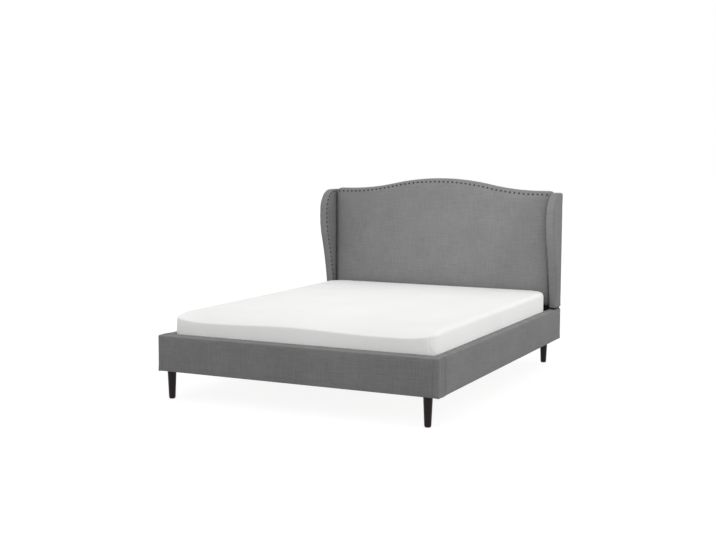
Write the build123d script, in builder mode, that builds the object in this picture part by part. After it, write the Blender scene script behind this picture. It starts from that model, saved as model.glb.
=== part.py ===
from build123d import *
import os
from math import cos, radians, sin

os.makedirs("parts", exist_ok=True)

# An upholstered double bed with a winged, camel-back headboard.
# Millimetres, +Z up, the floor at zero, the foot of the bed towards -Y.

# The bed's frame, whose length and width follow from the mattress
rail_top = 365
rail_height = 200
side_rail_thickness = 58
foot_rail_thickness = 80

# Upholstery: padded fabric on the faces that show, thin lining on the hidden ones
rail_padding = 8
rail_lining = 2
rail_round = 10
fabric = 2
gap = 0.3
overrun = 1

# Mattress and fitted sheet
mattress_width = 1600
mattress_length = 2000
mattress_height = 216
mattress_crown = 10
mattress_sink = 108
mattress_corner = 110
mattress_foot_gap = 8
mattress_head_gap = 34
mattress_side_gap = 2
sheet_thickness = 1.5
sheet_tuck = 150
# Heights as shares of the mattress height, with insets as shares of its corner radius
mattress_side_shares = (
    (0, 0.3),
    (0.05, 0.12),
    (0.14, 0.03),
    (0.4, 0),
    (0.68, 0.005),
    (0.8, 0.03),
    (0.9, 0.13),
    (0.96, 0.28),
    (1, 0.58),
)
# Rises as shares of the crown, with insets as shares of half the mattress width
mattress_crown_shares = ((0.4, 0.2), (0.75, 0.42), (1, 0.75))

# Headboard
headboard_rise = 861
headboard_clearance = 14
headboard_thickness = 78
headboard_round = 20
headboard_shoulder_round = 30
crown_span_share = 0.88
crown_drop = 76
headboard_foam_top = 18
headboard_foam_side = 3
facing_thickness = 4
frame_depth = 32
back_border = 40
post_width = 55
post_lift = 25
top_rail_height = 70
bottom_rail_height = 60
middle_rail_height = 60
middle_rail_rise = 330

# Wings
wing_thickness = 48
wing_inset = 5
wing_drop = 10
wing_round = 12
wing_padding = 8
wing_foot_depth = 107
wing_waist_depth = 199
wing_waist_rise = 430
wing_top_depth = 190
wing_nose_radius = 130
wing_foot_angle = 6

# Nail heads
nail_diameter = 13
nail_height = 3.5
nail_sides = 8
# Heights of the dome as shares of its height, with radii as shares of its own
nail_dome_shares = ((0, 1), (0.6, 0.8), (1, 0.3))
nail_pitch = 32.5
nail_edge_distance = 24
wing_nail_edge_distance = 17
nail_row_margin = 37

# Slatted base
slat_thickness = 8
slat_width = 53
slat_rise = 6.5
slat_count = 13
slat_seat = 3
cap_height = 14
cap_length = 40
cap_width = 62
cap_grip = 28
ledge_width = 30
ledge_height = 40
beam_width = 60
beam_height = 40
corner_room = 75
ledge_end_gap = 15
end_slat_margin = 40
foot_board_thickness = 18
batten_height = 40
end_block_length = 120

# Steel brackets and hangers
bracket_leg = 60
bracket_height = 120
bracket_thickness = 4
bracket_lift = 10
bracket_corner_round = 8
hanger_thickness = 3
hanger_depth = 40
hanger_leaf = 22
hanger_cheek_drop = 6
hanger_screw_shares = (0.25, 0.75)

# Fasteners
bolt_diameter = 8
bolt_length = 45
bolt_head_width = 13
bolt_head_height = 5.5
bolt_inset = 28
bolt_end_distance = 25
screw_diameter = 6
long_screw_length = 95
short_screw_diameter = 5
ledge_screw_length = 58
hanger_screw_length = 16
screw_head_diameter = 11
screw_head_height = 3
hole_clearance = 0.2
post_screw_drops = (75, 145)
wing_screw_shares = (0.13, 0.8)
block_screw_rise = 43
block_screw_shares = (0.22, 0.78)
ledge_screw_shares = (0.05, 0.275, 0.5, 0.725, 0.95)

# Legs
leg_top_diameter = 51
leg_foot_diameter = 37
leg_foot_chamfer = 1.5
front_leg_side_inset = 75
front_leg_end_inset = 34
rear_leg_side_inset = 90
rear_leg_end_inset = 84
glide_thickness = 4
glide_diameter = 30
glide_pin_diameter = 5
glide_pin_length = 16
stud_diameter = 8
stud_in_leg = 40
insert_diameter = 12
insert_length = 20
insert_lift = 2
stud_in_insert = 24
block_width = 66
block_length = 92
block_height = 60

# Centre legs
centre_leg_diameter = 38
centre_plate_width = 56
centre_plate_length = 84
centre_plate_thickness = 4
plate_screw_reach = 32
centre_foot_height = 14
centre_foot_diameter = 42
centre_foot_disc = 6
centre_stud_diameter = 10
centre_stud_length = 30
centre_leg_shares = (0.42, 0.72)

# Head cross rail
cross_rail_thickness = 24
cross_rail_drop = 10

# Sizes and places worked out from the others
bed_width = mattress_width + 2 * (mattress_side_gap + side_rail_thickness)
bed_length = foot_rail_thickness + mattress_foot_gap + mattress_length + mattress_head_gap + headboard_thickness
foot_y = -bed_length / 2
head_y = bed_length / 2
side_x = bed_width / 2
rail_bottom = rail_top - rail_height
inner_x = side_x - side_rail_thickness
inner_foot_y = foot_y + foot_rail_thickness
wing_outer_x = side_x - wing_inset
panel_half_width = wing_outer_x - wing_thickness
crown_half_span = crown_span_share * panel_half_width
nail_row_end = panel_half_width - nail_row_margin
wing_rise = headboard_rise - crown_drop - wing_drop
headboard_bottom = rail_top + headboard_clearance
headboard_front = head_y - headboard_thickness
frame_back = head_y - fabric
frame_front = frame_back - frame_depth
facing_front = frame_front - facing_thickness
cross_rail_front = frame_front - cross_rail_thickness
shoulder_height = rail_top + headboard_rise - crown_drop
cross_rail_bottom = rail_bottom + post_lift
cross_rail_top = rail_top - cross_rail_drop
mattress_base = rail_top - mattress_sink
mattress_foot_y = inner_foot_y + mattress_foot_gap
mattress_middle_y = mattress_foot_y + mattress_length / 2


def save(piece, name):
    """Name a finished piece and write it out."""
    piece.part.label = name
    export_step(piece.part, f"parts/{name}.step")


def save_pair(right, name):
    """Write the right-hand piece and its mirror image on the left."""
    with BuildPart() as left:
        mirror(right.part, about=Plane.YZ)
    save(right, f"{name}_right")
    save(left, f"{name}_left")


def both_sides(spots):
    """Places on the right-hand side and their mirror images, as planes with z out of the screw's head."""
    flipped = [
        Plane((-spot.origin.X, spot.origin.Y, spot.origin.Z), z_dir=(-spot.z_dir.X, spot.z_dir.Y, spot.z_dir.Z))
        for spot in spots
    ]
    return spots + flipped


def drill(spots, diameter, depth):
    """Cut holes that start at the fasteners' heads and run along their shanks."""
    with Locations(*spots):
        Cylinder(
            diameter / 2 + hole_clearance,
            depth + overrun,
            align=(Align.CENTER, Align.CENTER, Align.MAX),
            mode=Mode.SUBTRACT,
        )


def block(low, high, mode=Mode.ADD):
    """A squared piece of timber or board between two corners."""
    size = [b - a for a, b in zip(low, high)]
    with Locations(low):
        Box(*size, align=(Align.MIN, Align.MIN, Align.MIN), mode=mode)


def pan_screw(diameter, length, head_diameter, head_height):
    """A screw with its head above the origin and its shank along -Z."""
    with BuildPart() as screw:
        Cylinder(head_diameter / 2, head_height, align=(Align.CENTER, Align.CENTER, Align.MIN))
        Cylinder(diameter / 2, length, align=(Align.CENTER, Align.CENTER, Align.MAX))
    return screw.part


# Fasteners, each placed by a plane at its head whose z points out of the head

bracket_low_z = rail_bottom + bracket_lift
head_bracket_low_z = rail_bottom + block_height + rail_lining
bolt_middle = bracket_leg - bolt_inset


def bracket_bolt_spots(corner_y, inward, low_z):
    """Two bolts in each leaf of one right-hand bracket."""
    spots = []
    for z in (low_z + bolt_end_distance, low_z + bracket_height - bolt_end_distance):
        side = (inner_x - bracket_thickness, corner_y + inward * bolt_middle, z)
        end = (inner_x - bolt_middle, corner_y + inward * bracket_thickness, z)
        spots.append(Plane(side, z_dir=(-1, 0, 0)))
        spots.append(Plane(end, z_dir=(0, inward, 0)))
    return spots


foot_bolts = bracket_bolt_spots(inner_foot_y, 1, bracket_low_z)
head_bolts = bracket_bolt_spots(cross_rail_front, -1, head_bracket_low_z)
bolt_spots = both_sides(foot_bolts + head_bolts)

post_middle_y = frame_back - frame_depth / 2
post_inner_x = inner_x - post_width
rail_screws = [
    Plane((post_inner_x, post_middle_y, rail_top - drop), z_dir=(-1, 0, 0)) for drop in post_screw_drops
]
wing_screws = [
    Plane((post_inner_x, post_middle_y, headboard_bottom + share * wing_rise), z_dir=(-1, 0, 0))
    for share in wing_screw_shares
]
block_screws = [
    Plane(
        (inner_x - block_width, cross_rail_front - share * block_length, rail_bottom + block_screw_rise),
        z_dir=(-1, 0, 0),
    )
    for share in block_screw_shares
]
long_screw_spots = both_sides(rail_screws + wing_screws + block_screws)

slat_top = mattress_base - sheet_thickness - gap
slat_end_bottom = slat_top - slat_rise - slat_thickness
ledge_top = slat_end_bottom - slat_seat
ledge_foot_y = inner_foot_y + corner_room
ledge_head_y = cross_rail_front - block_length - ledge_end_gap
ledge_length = ledge_head_y - ledge_foot_y
ledge_screws = [
    Plane((inner_x - ledge_width, ledge_foot_y + share * ledge_length, ledge_top - ledge_height / 2), z_dir=(-1, 0, 0))
    for share in ledge_screw_shares
]
ledge_screw_spots = both_sides(ledge_screws)

beam_bottom = ledge_top - beam_height
hanger_screw_x = beam_width / 2 + hanger_thickness + hanger_leaf / 2
hanger_screw_spots = [
    Plane((x, y, beam_bottom + share * beam_height), z_dir=(0, inward, 0))
    for y, inward in (
        (inner_foot_y + hanger_thickness, 1),
        (cross_rail_front - hanger_thickness, -1),
    )
    for x in (-hanger_screw_x, hanger_screw_x)
    for share in hanger_screw_shares
]
beam_run = cross_rail_front - inner_foot_y
centre_leg_places = [(0, inner_foot_y + share * beam_run, 0) for share in centre_leg_shares]
plate_screw_spots = [
    Plane((x, y + reach, beam_bottom - centre_plate_thickness), z_dir=(0, 0, -1))
    for x, y, z in centre_leg_places
    for reach in (plate_screw_reach, -plate_screw_reach)
]

with BuildPart() as frame_bolt:
    with BuildSketch():
        RegularPolygon(bolt_head_width / 2, 6, major_radius=False)
    extrude(amount=bolt_head_height)
    Cylinder(bolt_diameter / 2, bolt_length, align=(Align.CENTER, Align.CENTER, Align.MAX))

with BuildPart() as frame_bolts:
    with Locations(*bolt_spots):
        add(frame_bolt.part)
save(frame_bolts, "frame_bolts")

long_screw = pan_screw(screw_diameter, long_screw_length, screw_head_diameter, screw_head_height)
with BuildPart() as long_screws:
    with Locations(*long_screw_spots):
        add(long_screw)
save(long_screws, "long_screws")

ledge_screw = pan_screw(short_screw_diameter, ledge_screw_length, screw_head_diameter, screw_head_height)
with BuildPart() as ledge_screw_set:
    with Locations(*ledge_screw_spots):
        add(ledge_screw)
save(ledge_screw_set, "ledge_screws")

hanger_screw = pan_screw(short_screw_diameter, hanger_screw_length, screw_head_diameter, screw_head_height)
with BuildPart() as hanger_screws:
    with Locations(*hanger_screw_spots, *plate_screw_spots):
        add(hanger_screw)
save(hanger_screws, "hanger_screws")

# Leg places: straight down from each corner of the frame
front_leg = (side_x - front_leg_side_inset, foot_y + front_leg_end_inset)
rear_leg = (side_x - rear_leg_side_inset, head_y - rear_leg_end_inset)
leg_places = {
    "front_right": front_leg,
    "front_left": (-front_leg[0], front_leg[1]),
    "rear_right": rear_leg,
    "rear_left": (-rear_leg[0], rear_leg[1]),
}
leg_tops = [(x, y, rail_bottom) for x, y in leg_places.values()]
insert_hole_depth = insert_lift + stud_in_insert + overrun


def leg_insert_holes():
    """Blind holes from the underside of the frame for the threaded inserts."""
    with Locations(*leg_tops):
        Cylinder(
            insert_diameter / 2,
            insert_hole_depth,
            align=(Align.CENTER, Align.CENTER, Align.MIN),
            mode=Mode.SUBTRACT,
        )


# Side rails: a timber beam in a padded fabric sleeve with a thin lining on the hidden faces
beam_foot_y = inner_foot_y
beam_head_y = head_y - rail_lining
side_beam_low = (inner_x + rail_lining, beam_foot_y, rail_bottom + rail_lining)
side_beam_high = (side_x - rail_padding, beam_head_y, rail_top - rail_padding)

with BuildPart() as side_rail_beam:
    block(side_beam_low, side_beam_high)
    drill(foot_bolts + head_bolts, bolt_diameter, bolt_length)
    drill(rail_screws + block_screws, screw_diameter, long_screw_length)
    drill(ledge_screws, short_screw_diameter, ledge_screw_length)
save_pair(side_rail_beam, "side_rail_beam")

with BuildPart() as side_rail_cover:
    block((inner_x, beam_foot_y, rail_bottom), (side_x, head_y, rail_top))
    outer_top_edge = side_rail_cover.faces().sort_by(Axis.X)[-1].edges().sort_by(Axis.Z)[-1]
    fillet(outer_top_edge, radius=rail_round)
    block(side_beam_low, side_beam_high, mode=Mode.SUBTRACT)
    drill(foot_bolts + head_bolts, bolt_diameter, bolt_length)
    drill(rail_screws + block_screws, screw_diameter, long_screw_length)
    drill(ledge_screws, short_screw_diameter, ledge_screw_length)
save_pair(side_rail_cover, "side_rail_cover")

# Foot rail: a hollow box of two boards and two battens, with solid ends for the brackets
box_low = (-side_x + rail_padding, foot_y + rail_padding, rail_bottom + rail_lining)
box_high = (side_x - rail_padding, inner_foot_y - rail_lining, rail_top - rail_padding)
front_board_back = box_low[1] + foot_board_thickness
rear_board_front = box_high[1] - foot_board_thickness
bottom_batten_top = box_low[2] + batten_height
top_batten_bottom = box_high[2] - batten_height
foot_corner_bolts = both_sides(foot_bolts)

with BuildPart() as foot_rail_front_board:
    block(box_low, (box_high[0], front_board_back, box_high[2]))
save(foot_rail_front_board, "foot_rail_front_board")

with BuildPart() as foot_rail_rear_board:
    block((box_low[0], rear_board_front, box_low[2]), box_high)
    drill(foot_corner_bolts, bolt_diameter, bolt_length)
    drill(hanger_screw_spots, short_screw_diameter, hanger_screw_length)
save(foot_rail_rear_board, "foot_rail_rear_board")

with BuildPart() as foot_rail_bottom_batten:
    block((box_low[0], front_board_back, box_low[2]), (box_high[0], rear_board_front, bottom_batten_top))
    drill(foot_corner_bolts, bolt_diameter, bolt_length)
    leg_insert_holes()
save(foot_rail_bottom_batten, "foot_rail_bottom_batten")

with BuildPart() as foot_rail_top_batten:
    block((box_low[0], front_board_back, top_batten_bottom), (box_high[0], rear_board_front, box_high[2]))
save(foot_rail_top_batten, "foot_rail_top_batten")

with BuildPart() as foot_rail_end_blocks:
    for end_x in (box_low[0], box_high[0] - end_block_length):
        block(
            (end_x, front_board_back, bottom_batten_top),
            (end_x + end_block_length, rear_board_front, top_batten_bottom),
        )
    drill(foot_corner_bolts, bolt_diameter, bolt_length)
save(foot_rail_end_blocks, "foot_rail_end_blocks")

with BuildPart() as foot_rail_cover:
    block((-side_x, foot_y, rail_bottom), (side_x, inner_foot_y, rail_top))
    front_face = foot_rail_cover.faces().sort_by(Axis.Y)[0]
    end_tops = foot_rail_cover.faces().sort_by(Axis.Z)[-1].edges().filter_by(Axis.Y)
    front_edges = front_face.edges().sort_by(Axis.Z)[1:]
    fillet(front_edges + end_tops, radius=rail_round)
    block(box_low, box_high, mode=Mode.SUBTRACT)
    drill(foot_corner_bolts, bolt_diameter, bolt_length)
    drill(hanger_screw_spots, short_screw_diameter, hanger_screw_length)
    leg_insert_holes()
save(foot_rail_cover, "foot_rail_cover")

# Head end: cross rail on the headboard's posts, and corner blocks over the rear legs
with BuildPart() as head_cross_rail:
    block((-inner_x, cross_rail_front, cross_rail_bottom), (inner_x, frame_front, cross_rail_top))
    drill(both_sides(head_bolts), bolt_diameter, bolt_length)
    drill(hanger_screw_spots, short_screw_diameter, hanger_screw_length)
save(head_cross_rail, "head_cross_rail")

with BuildPart() as rear_corner_block:
    block(
        (inner_x - block_width, cross_rail_front - block_length, rail_bottom),
        (inner_x, cross_rail_front, rail_bottom + block_height),
    )
    drill(block_screws, screw_diameter, long_screw_length)
    leg_insert_holes()
save_pair(rear_corner_block, "rear_corner_block")


def bracket(corner_y, inward, low_z):
    """A right-hand angle bracket folded from steel, with rounded upper and lower corners."""
    with BuildPart() as angle:
        with BuildSketch(Plane.XY.offset(low_z)):
            with BuildLine():
                Polyline(
                    (inner_x, corner_y),
                    (inner_x, corner_y + inward * bracket_leg),
                    (inner_x - bracket_thickness, corner_y + inward * bracket_leg),
                    (inner_x - bracket_thickness, corner_y + inward * bracket_thickness),
                    (inner_x - bracket_leg, corner_y + inward * bracket_thickness),
                    (inner_x - bracket_leg, corner_y),
                    close=True,
                )
            make_face()
        extrude(amount=bracket_height)
    return angle.part


foot_bracket = bracket(inner_foot_y, 1, bracket_low_z)
head_bracket = bracket(cross_rail_front, -1, head_bracket_low_z)
with BuildPart() as corner_brackets:
    add(foot_bracket)
    add(head_bracket)
    mirror(foot_bracket, about=Plane.YZ)
    mirror(head_bracket, about=Plane.YZ)
    drill(both_sides(foot_bolts + head_bolts), bolt_diameter, bolt_length)
save(corner_brackets, "corner_brackets")


# Headboard: timber frame, facing, foam, fabric and nail heads
def crown_curve(half_width, height):
    """Right half of the camel-back curve: two equal arcs, then a level shoulder."""
    turn = crown_half_span / 2
    with BuildLine() as curve:
        hump = TangentArc((0, height), (turn, height - crown_drop / 2), tangent=(1, 0))
        hollow = TangentArc(hump @ 1, (crown_half_span, height - crown_drop), tangent=hump % 1)
        Line(hollow @ 1, (half_width, height - crown_drop))
    return curve.line


def headboard_face(half_width, top_drop, bottom, corner_round):
    """The headboard's outline seen from the front, with its top lowered by top_drop."""
    height = rail_top + headboard_rise - top_drop
    with BuildSketch() as face:
        with BuildLine():
            add(crown_curve(half_width, height))
            Polyline((half_width, height - crown_drop), (half_width, bottom), (0, bottom), (0, height))
        make_face()
        mirror(about=Plane.YZ)
        right_corner = face.vertices().group_by(Axis.X)[-1].sort_by(Axis.Y)[-1]
        left_corner = face.vertices().group_by(Axis.X)[0].sort_by(Axis.Y)[-1]
        fillet([right_corner, left_corner], radius=corner_round)
    return face.sketch


def headboard_slab(face, back, front):
    """A slab of that outline between two planes."""
    with BuildPart() as slab:
        with BuildSketch(Plane.XZ.offset(-back)):
            add(face)
        extrude(amount=back - front)
    return slab.part


def headboard_form(skin):
    """The whole upholstered body, drawn in by skin on every face, with soft front edges."""
    face = headboard_face(panel_half_width - skin, skin, headboard_bottom + skin, headboard_shoulder_round - skin)
    with BuildPart() as form:
        add(headboard_slab(face, head_y - skin, headboard_front + skin))
        fillet(form.faces().sort_by(Axis.Y)[0].edges(), radius=headboard_round - skin)
    return form.part


panel_bottom = headboard_bottom + fabric
foam_top = fabric + headboard_foam_top
frame_round = headboard_shoulder_round - fabric - headboard_foam_side
frame_face = headboard_face(inner_x, foam_top, panel_bottom, frame_round)
top_rail_bottom = shoulder_height - foam_top - top_rail_height
middle_rail_bottom = rail_top + middle_rail_rise
post_low = (post_inner_x, frame_front, cross_rail_bottom)
post_high = (inner_x, frame_back, top_rail_bottom)

with BuildPart() as headboard_post:
    block(post_low, post_high)
    drill(head_bolts, bolt_diameter, bolt_length)
    drill(rail_screws + wing_screws, screw_diameter, long_screw_length)
save_pair(headboard_post, "headboard_post")

with BuildPart() as headboard_top_rail:
    add(headboard_slab(frame_face, frame_back, frame_front))
    split(bisect_by=Plane.XY.offset(top_rail_bottom), keep=Keep.TOP)
save(headboard_top_rail, "headboard_top_rail")

with BuildPart() as headboard_middle_rail:
    block(
        (-post_inner_x, frame_front, middle_rail_bottom),
        (post_inner_x, frame_back, middle_rail_bottom + middle_rail_height),
    )
save(headboard_middle_rail, "headboard_middle_rail")

with BuildPart() as headboard_bottom_rail:
    block((-post_inner_x, frame_front, panel_bottom), (post_inner_x, frame_back, panel_bottom + bottom_rail_height))
save(headboard_bottom_rail, "headboard_bottom_rail")

with BuildPart() as headboard_facing:
    add(headboard_slab(frame_face, frame_front, facing_front))
save(headboard_facing, "headboard_facing")

padded_form = headboard_form(fabric)
frame_space = headboard_slab(frame_face, head_y, facing_front)
with BuildPart() as headboard_foam:
    add(padded_form)
    add(frame_space, mode=Mode.SUBTRACT)
    drill(both_sides(wing_screws), screw_diameter, long_screw_length)
save(headboard_foam, "headboard_foam")

back_face = headboard_face(
    panel_half_width - back_border, back_border, headboard_bottom + back_border, headboard_shoulder_round
)
covered_form = headboard_form(0)
back_opening = headboard_slab(back_face, head_y, frame_back)
with BuildPart() as headboard_cover:
    add(covered_form)
    add(padded_form, mode=Mode.SUBTRACT)
    add(back_opening, mode=Mode.SUBTRACT)
    block(post_low, (inner_x, frame_back, post_high[2]), mode=Mode.SUBTRACT)
    block((-inner_x, frame_front, cross_rail_bottom), (-post_inner_x, frame_back, post_high[2]), mode=Mode.SUBTRACT)
    drill(both_sides(wing_screws), screw_diameter, long_screw_length)
save(headboard_cover, "headboard_cover")

with BuildPart() as headboard_back_cloth:
    add(back_opening)
save(headboard_back_cloth, "headboard_back_cloth")

# A domed nail head, flat side down at the origin, hammered into flat facets
with BuildPart() as nail:
    for rise, spread in nail_dome_shares:
        with BuildSketch(Plane.XY.offset(rise * nail_height)):
            RegularPolygon(spread * nail_diameter / 2, nail_sides)
    loft(ruled=True)

nail_row = Wire(crown_curve(panel_half_width, rail_top + headboard_rise - nail_edge_distance).edges())
nail_count = int(nail_row_end / nail_pitch)
nail_points = [
    nail_row.position_at(number * nail_pitch, position_mode=PositionMode.LENGTH) for number in range(nail_count + 1)
]
nail_spots = [
    Plane((side * point.X, headboard_front, point.Y), z_dir=(0, -1, 0))
    for point in nail_points
    for side in ((1,) if point.X < nail_pitch / 2 else (1, -1))
]
with BuildPart() as headboard_nails:
    with Locations(*nail_spots):
        add(nail.part)
save(headboard_nails, "headboard_nails")


# Wings: a timber core, padding all round it and a fabric cover
def wing_face(inset):
    """The wing's outline seen from the side: a hollow, then a swelling arc, then a round nose."""
    lean = radians(wing_foot_angle)
    with BuildSketch() as face:
        with BuildLine():
            foot = (head_y - wing_foot_depth, headboard_bottom)
            waist = (head_y - wing_waist_depth, rail_top + wing_waist_rise)
            top = (head_y - wing_top_depth, rail_top + wing_rise)
            hollow = TangentArc(foot, waist, tangent=(-sin(lean), cos(lean)))
            TangentArc(hollow @ 1, top, tangent=hollow % 1)
            Polyline(top, (head_y, rail_top + wing_rise), (head_y, headboard_bottom), foot)
        make_face()
        nose = face.vertices().group_by(Axis.Y)[-1].sort_by(Axis.X)[0]
        fillet(nose, radius=wing_nose_radius)
        if inset:
            offset(amount=-inset)
    return face.sketch


def wing_form(skin, edge_round):
    """The right-hand wing, drawn in by skin on every face, with rounded front and top edges."""
    with BuildPart() as form:
        with BuildSketch(Plane.YZ.offset(panel_half_width + skin)):
            add(wing_face(skin))
        extrude(amount=wing_thickness - 2 * skin)
        if edge_round:
            inner_face = form.faces().sort_by(Axis.X)[0]
            outer_face = form.faces().sort_by(Axis.X)[-1]
            rims = [side.edges().sort_by(Axis.Z)[1:].sort_by(Axis.Y)[:-1] for side in (inner_face, outer_face)]
            fillet(rims[0] + rims[1], radius=edge_round)
    return form.part


wing_core_form = wing_form(fabric + wing_padding, 0)
wing_padded_form = wing_form(fabric, wing_round - fabric)
wing_covered_form = wing_form(0, wing_round)

with BuildPart() as wing_core:
    add(wing_core_form)
    drill(wing_screws, screw_diameter, long_screw_length)
save_pair(wing_core, "wing_core")

with BuildPart() as wing_pad:
    add(wing_padded_form)
    add(wing_core_form, mode=Mode.SUBTRACT)
    drill(wing_screws, screw_diameter, long_screw_length)
save_pair(wing_pad, "wing_padding")

with BuildPart() as wing_cover:
    add(wing_covered_form)
    add(wing_padded_form, mode=Mode.SUBTRACT)
    drill(wing_screws, screw_diameter, long_screw_length)
save_pair(wing_cover, "wing_cover")

wing_row = Wire(wing_face(wing_nail_edge_distance).edges().filter_by(GeomType.CIRCLE))
wing_row_margin = nail_pitch / 2
wing_nail_count = int((wing_row.length - wing_row_margin) / nail_pitch)
wing_nail_points = [
    wing_row.position_at(wing_row_margin + number * nail_pitch, position_mode=PositionMode.LENGTH)
    for number in range(wing_nail_count + 1)
]
with BuildPart() as wing_nails:
    with Locations(*[Plane((panel_half_width, point.X, point.Y), z_dir=(-1, 0, 0)) for point in wing_nail_points]):
        add(nail.part)
save_pair(wing_nails, "wing_nails")

# Slatted base: ledges, centre beam, sprung slats in plastic caps
with BuildPart() as slat_ledge:
    block((inner_x - ledge_width, ledge_foot_y, ledge_top - ledge_height), (inner_x, ledge_head_y, ledge_top))
    drill(ledge_screws, short_screw_diameter, ledge_screw_length)
save_pair(slat_ledge, "slat_ledge")

beam_half = beam_width / 2
with BuildPart() as centre_beam:
    block(
        (-beam_half, inner_foot_y + hanger_thickness, beam_bottom),
        (beam_half, cross_rail_front - hanger_thickness, ledge_top),
    )
    drill(plate_screw_spots, short_screw_diameter, hanger_screw_length)
save(centre_beam, "centre_beam")

hanger_half = beam_half + hanger_thickness
leaf_half = hanger_half + hanger_leaf
hanger_bottom = beam_bottom - hanger_thickness
cheek_top = ledge_top - hanger_cheek_drop
with BuildPart() as beam_hanger:
    block((-leaf_half, 0, hanger_bottom), (leaf_half, hanger_thickness, ledge_top))
    block((-hanger_half, 0, hanger_bottom), (hanger_half, hanger_depth, cheek_top))
    block((-beam_half, hanger_thickness, beam_bottom), (beam_half, hanger_depth, cheek_top), mode=Mode.SUBTRACT)

with BuildPart() as beam_hangers:
    with Locations(Location((0, inner_foot_y, 0)), Location((0, cross_rail_front, 0), (0, 0, 180))):
        add(beam_hanger.part)
    drill(hanger_screw_spots, short_screw_diameter, hanger_screw_length)
save(beam_hangers, "beam_hangers")

slat_outer_x = inner_x - cap_length + cap_grip - gap
slat_inner_x = cap_length - cap_grip + gap
slat_middle_x = (slat_inner_x + slat_outer_x) / 2
slat_first_y = ledge_foot_y + end_slat_margin
slat_last_y = ledge_head_y - end_slat_margin
slat_pitch = (slat_last_y - slat_first_y) / (slat_count - 1)
slat_rows = [(0, slat_first_y + number * slat_pitch, 0) for number in range(slat_count)]


def slat_form(spare):
    """One bowed slat on the right-hand side, made larger all round by spare."""
    low = slat_end_bottom - spare
    high = slat_end_bottom + slat_thickness + spare
    start = slat_inner_x - spare
    end = slat_outer_x + spare
    with BuildPart() as slat:
        with BuildSketch(Plane.XZ):
            with BuildLine():
                belly = ThreePointArc((start, low), (slat_middle_x, low + slat_rise), (end, low))
                back = ThreePointArc((end, high), (slat_middle_x, high + slat_rise), (start, high))
                Line(belly @ 1, back @ 0)
                Line(back @ 1, belly @ 0)
            make_face()
        extrude(amount=slat_width / 2 + spare, both=True)
    return slat.part


slat = slat_form(0)
slat_room = slat_form(gap)
with BuildPart() as slats:
    with Locations(*slat_rows):
        add(slat)
save_pair(slats, "slats")

cap_half = cap_width / 2
with BuildPart() as side_cap:
    block((inner_x - cap_length, -cap_half, ledge_top), (inner_x, cap_half, ledge_top + cap_height))
    add(slat_room, mode=Mode.SUBTRACT)
with BuildPart() as side_caps:
    with Locations(*slat_rows):
        add(side_cap.part)
save_pair(side_caps, "slat_caps")

with BuildPart() as centre_cap:
    block((-cap_length, -cap_half, ledge_top), (cap_length, cap_half, ledge_top + cap_height))
    add(slat_room, mode=Mode.SUBTRACT)
    mirror(slat_room, about=Plane.YZ, mode=Mode.SUBTRACT)
with BuildPart() as centre_caps:
    with Locations(*slat_rows):
        add(centre_cap.part)
save(centre_caps, "centre_caps")

# Legs, each with a glide below and a stud into an insert above
leg_hole_radius = stud_diameter / 2 + hole_clearance
with BuildPart() as leg:
    with BuildSketch(Plane.XZ):
        with BuildLine():
            foot_edge = leg_foot_diameter / 2
            Polyline(
                (0, glide_thickness),
                (foot_edge - leg_foot_chamfer, glide_thickness),
                (foot_edge, glide_thickness + leg_foot_chamfer),
                (leg_top_diameter / 2, rail_bottom),
                (0, rail_bottom),
                close=True,
            )
        make_face()
    revolve(axis=Axis.Z)
    with Locations((0, 0, rail_bottom)):
        Cylinder(
            leg_hole_radius,
            stud_in_leg + overrun,
            align=(Align.CENTER, Align.CENTER, Align.MAX),
            mode=Mode.SUBTRACT,
        )
    with Locations((0, 0, glide_thickness)):
        Cylinder(
            glide_pin_diameter / 2 + hole_clearance,
            glide_pin_length + overrun,
            align=(Align.CENTER, Align.CENTER, Align.MIN),
            mode=Mode.SUBTRACT,
        )

for corner, (leg_x, leg_y) in leg_places.items():
    with BuildPart() as placed_leg:
        with Locations((leg_x, leg_y, 0)):
            add(leg.part)
    save(placed_leg, f"leg_{corner}")

with BuildPart() as leg_glides:
    with Locations(*[(x, y, 0) for x, y in leg_places.values()]):
        Cylinder(glide_diameter / 2, glide_thickness, align=(Align.CENTER, Align.CENTER, Align.MIN))
        Cylinder(
            glide_pin_diameter / 2,
            glide_thickness + glide_pin_length,
            align=(Align.CENTER, Align.CENTER, Align.MIN),
        )
save(leg_glides, "leg_glides")

with BuildPart() as leg_inserts:
    with Locations(*[(x, y, z + insert_lift) for x, y, z in leg_tops]):
        Cylinder(insert_diameter / 2, insert_length, align=(Align.CENTER, Align.CENTER, Align.MIN))
        Cylinder(
            stud_diameter / 2,
            insert_length,
            align=(Align.CENTER, Align.CENTER, Align.MIN),
            mode=Mode.SUBTRACT,
        )
save(leg_inserts, "leg_inserts")

with BuildPart() as leg_studs:
    with Locations(*[(x, y, z - stud_in_leg) for x, y, z in leg_tops]):
        Cylinder(
            stud_diameter / 2,
            stud_in_leg + stud_in_insert,
            align=(Align.CENTER, Align.CENTER, Align.MIN),
        )
save(leg_studs, "leg_studs")

# Centre legs: a post under the beam with a levelling foot
plate_bottom = beam_bottom - centre_plate_thickness
with BuildPart() as centre_leg:
    with Locations((0, 0, centre_foot_height)):
        Cylinder(
            centre_leg_diameter / 2,
            plate_bottom - centre_foot_height,
            align=(Align.CENTER, Align.CENTER, Align.MIN),
        )
    with BuildSketch(Plane.XY.offset(plate_bottom)):
        RectangleRounded(centre_plate_width, centre_plate_length, bracket_corner_round)
    extrude(amount=centre_plate_thickness)
    with Locations((0, 0, centre_foot_height)):
        Cylinder(
            centre_stud_diameter / 2 + hole_clearance,
            centre_stud_length + overrun,
            align=(Align.CENTER, Align.CENTER, Align.MIN),
            mode=Mode.SUBTRACT,
        )

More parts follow.
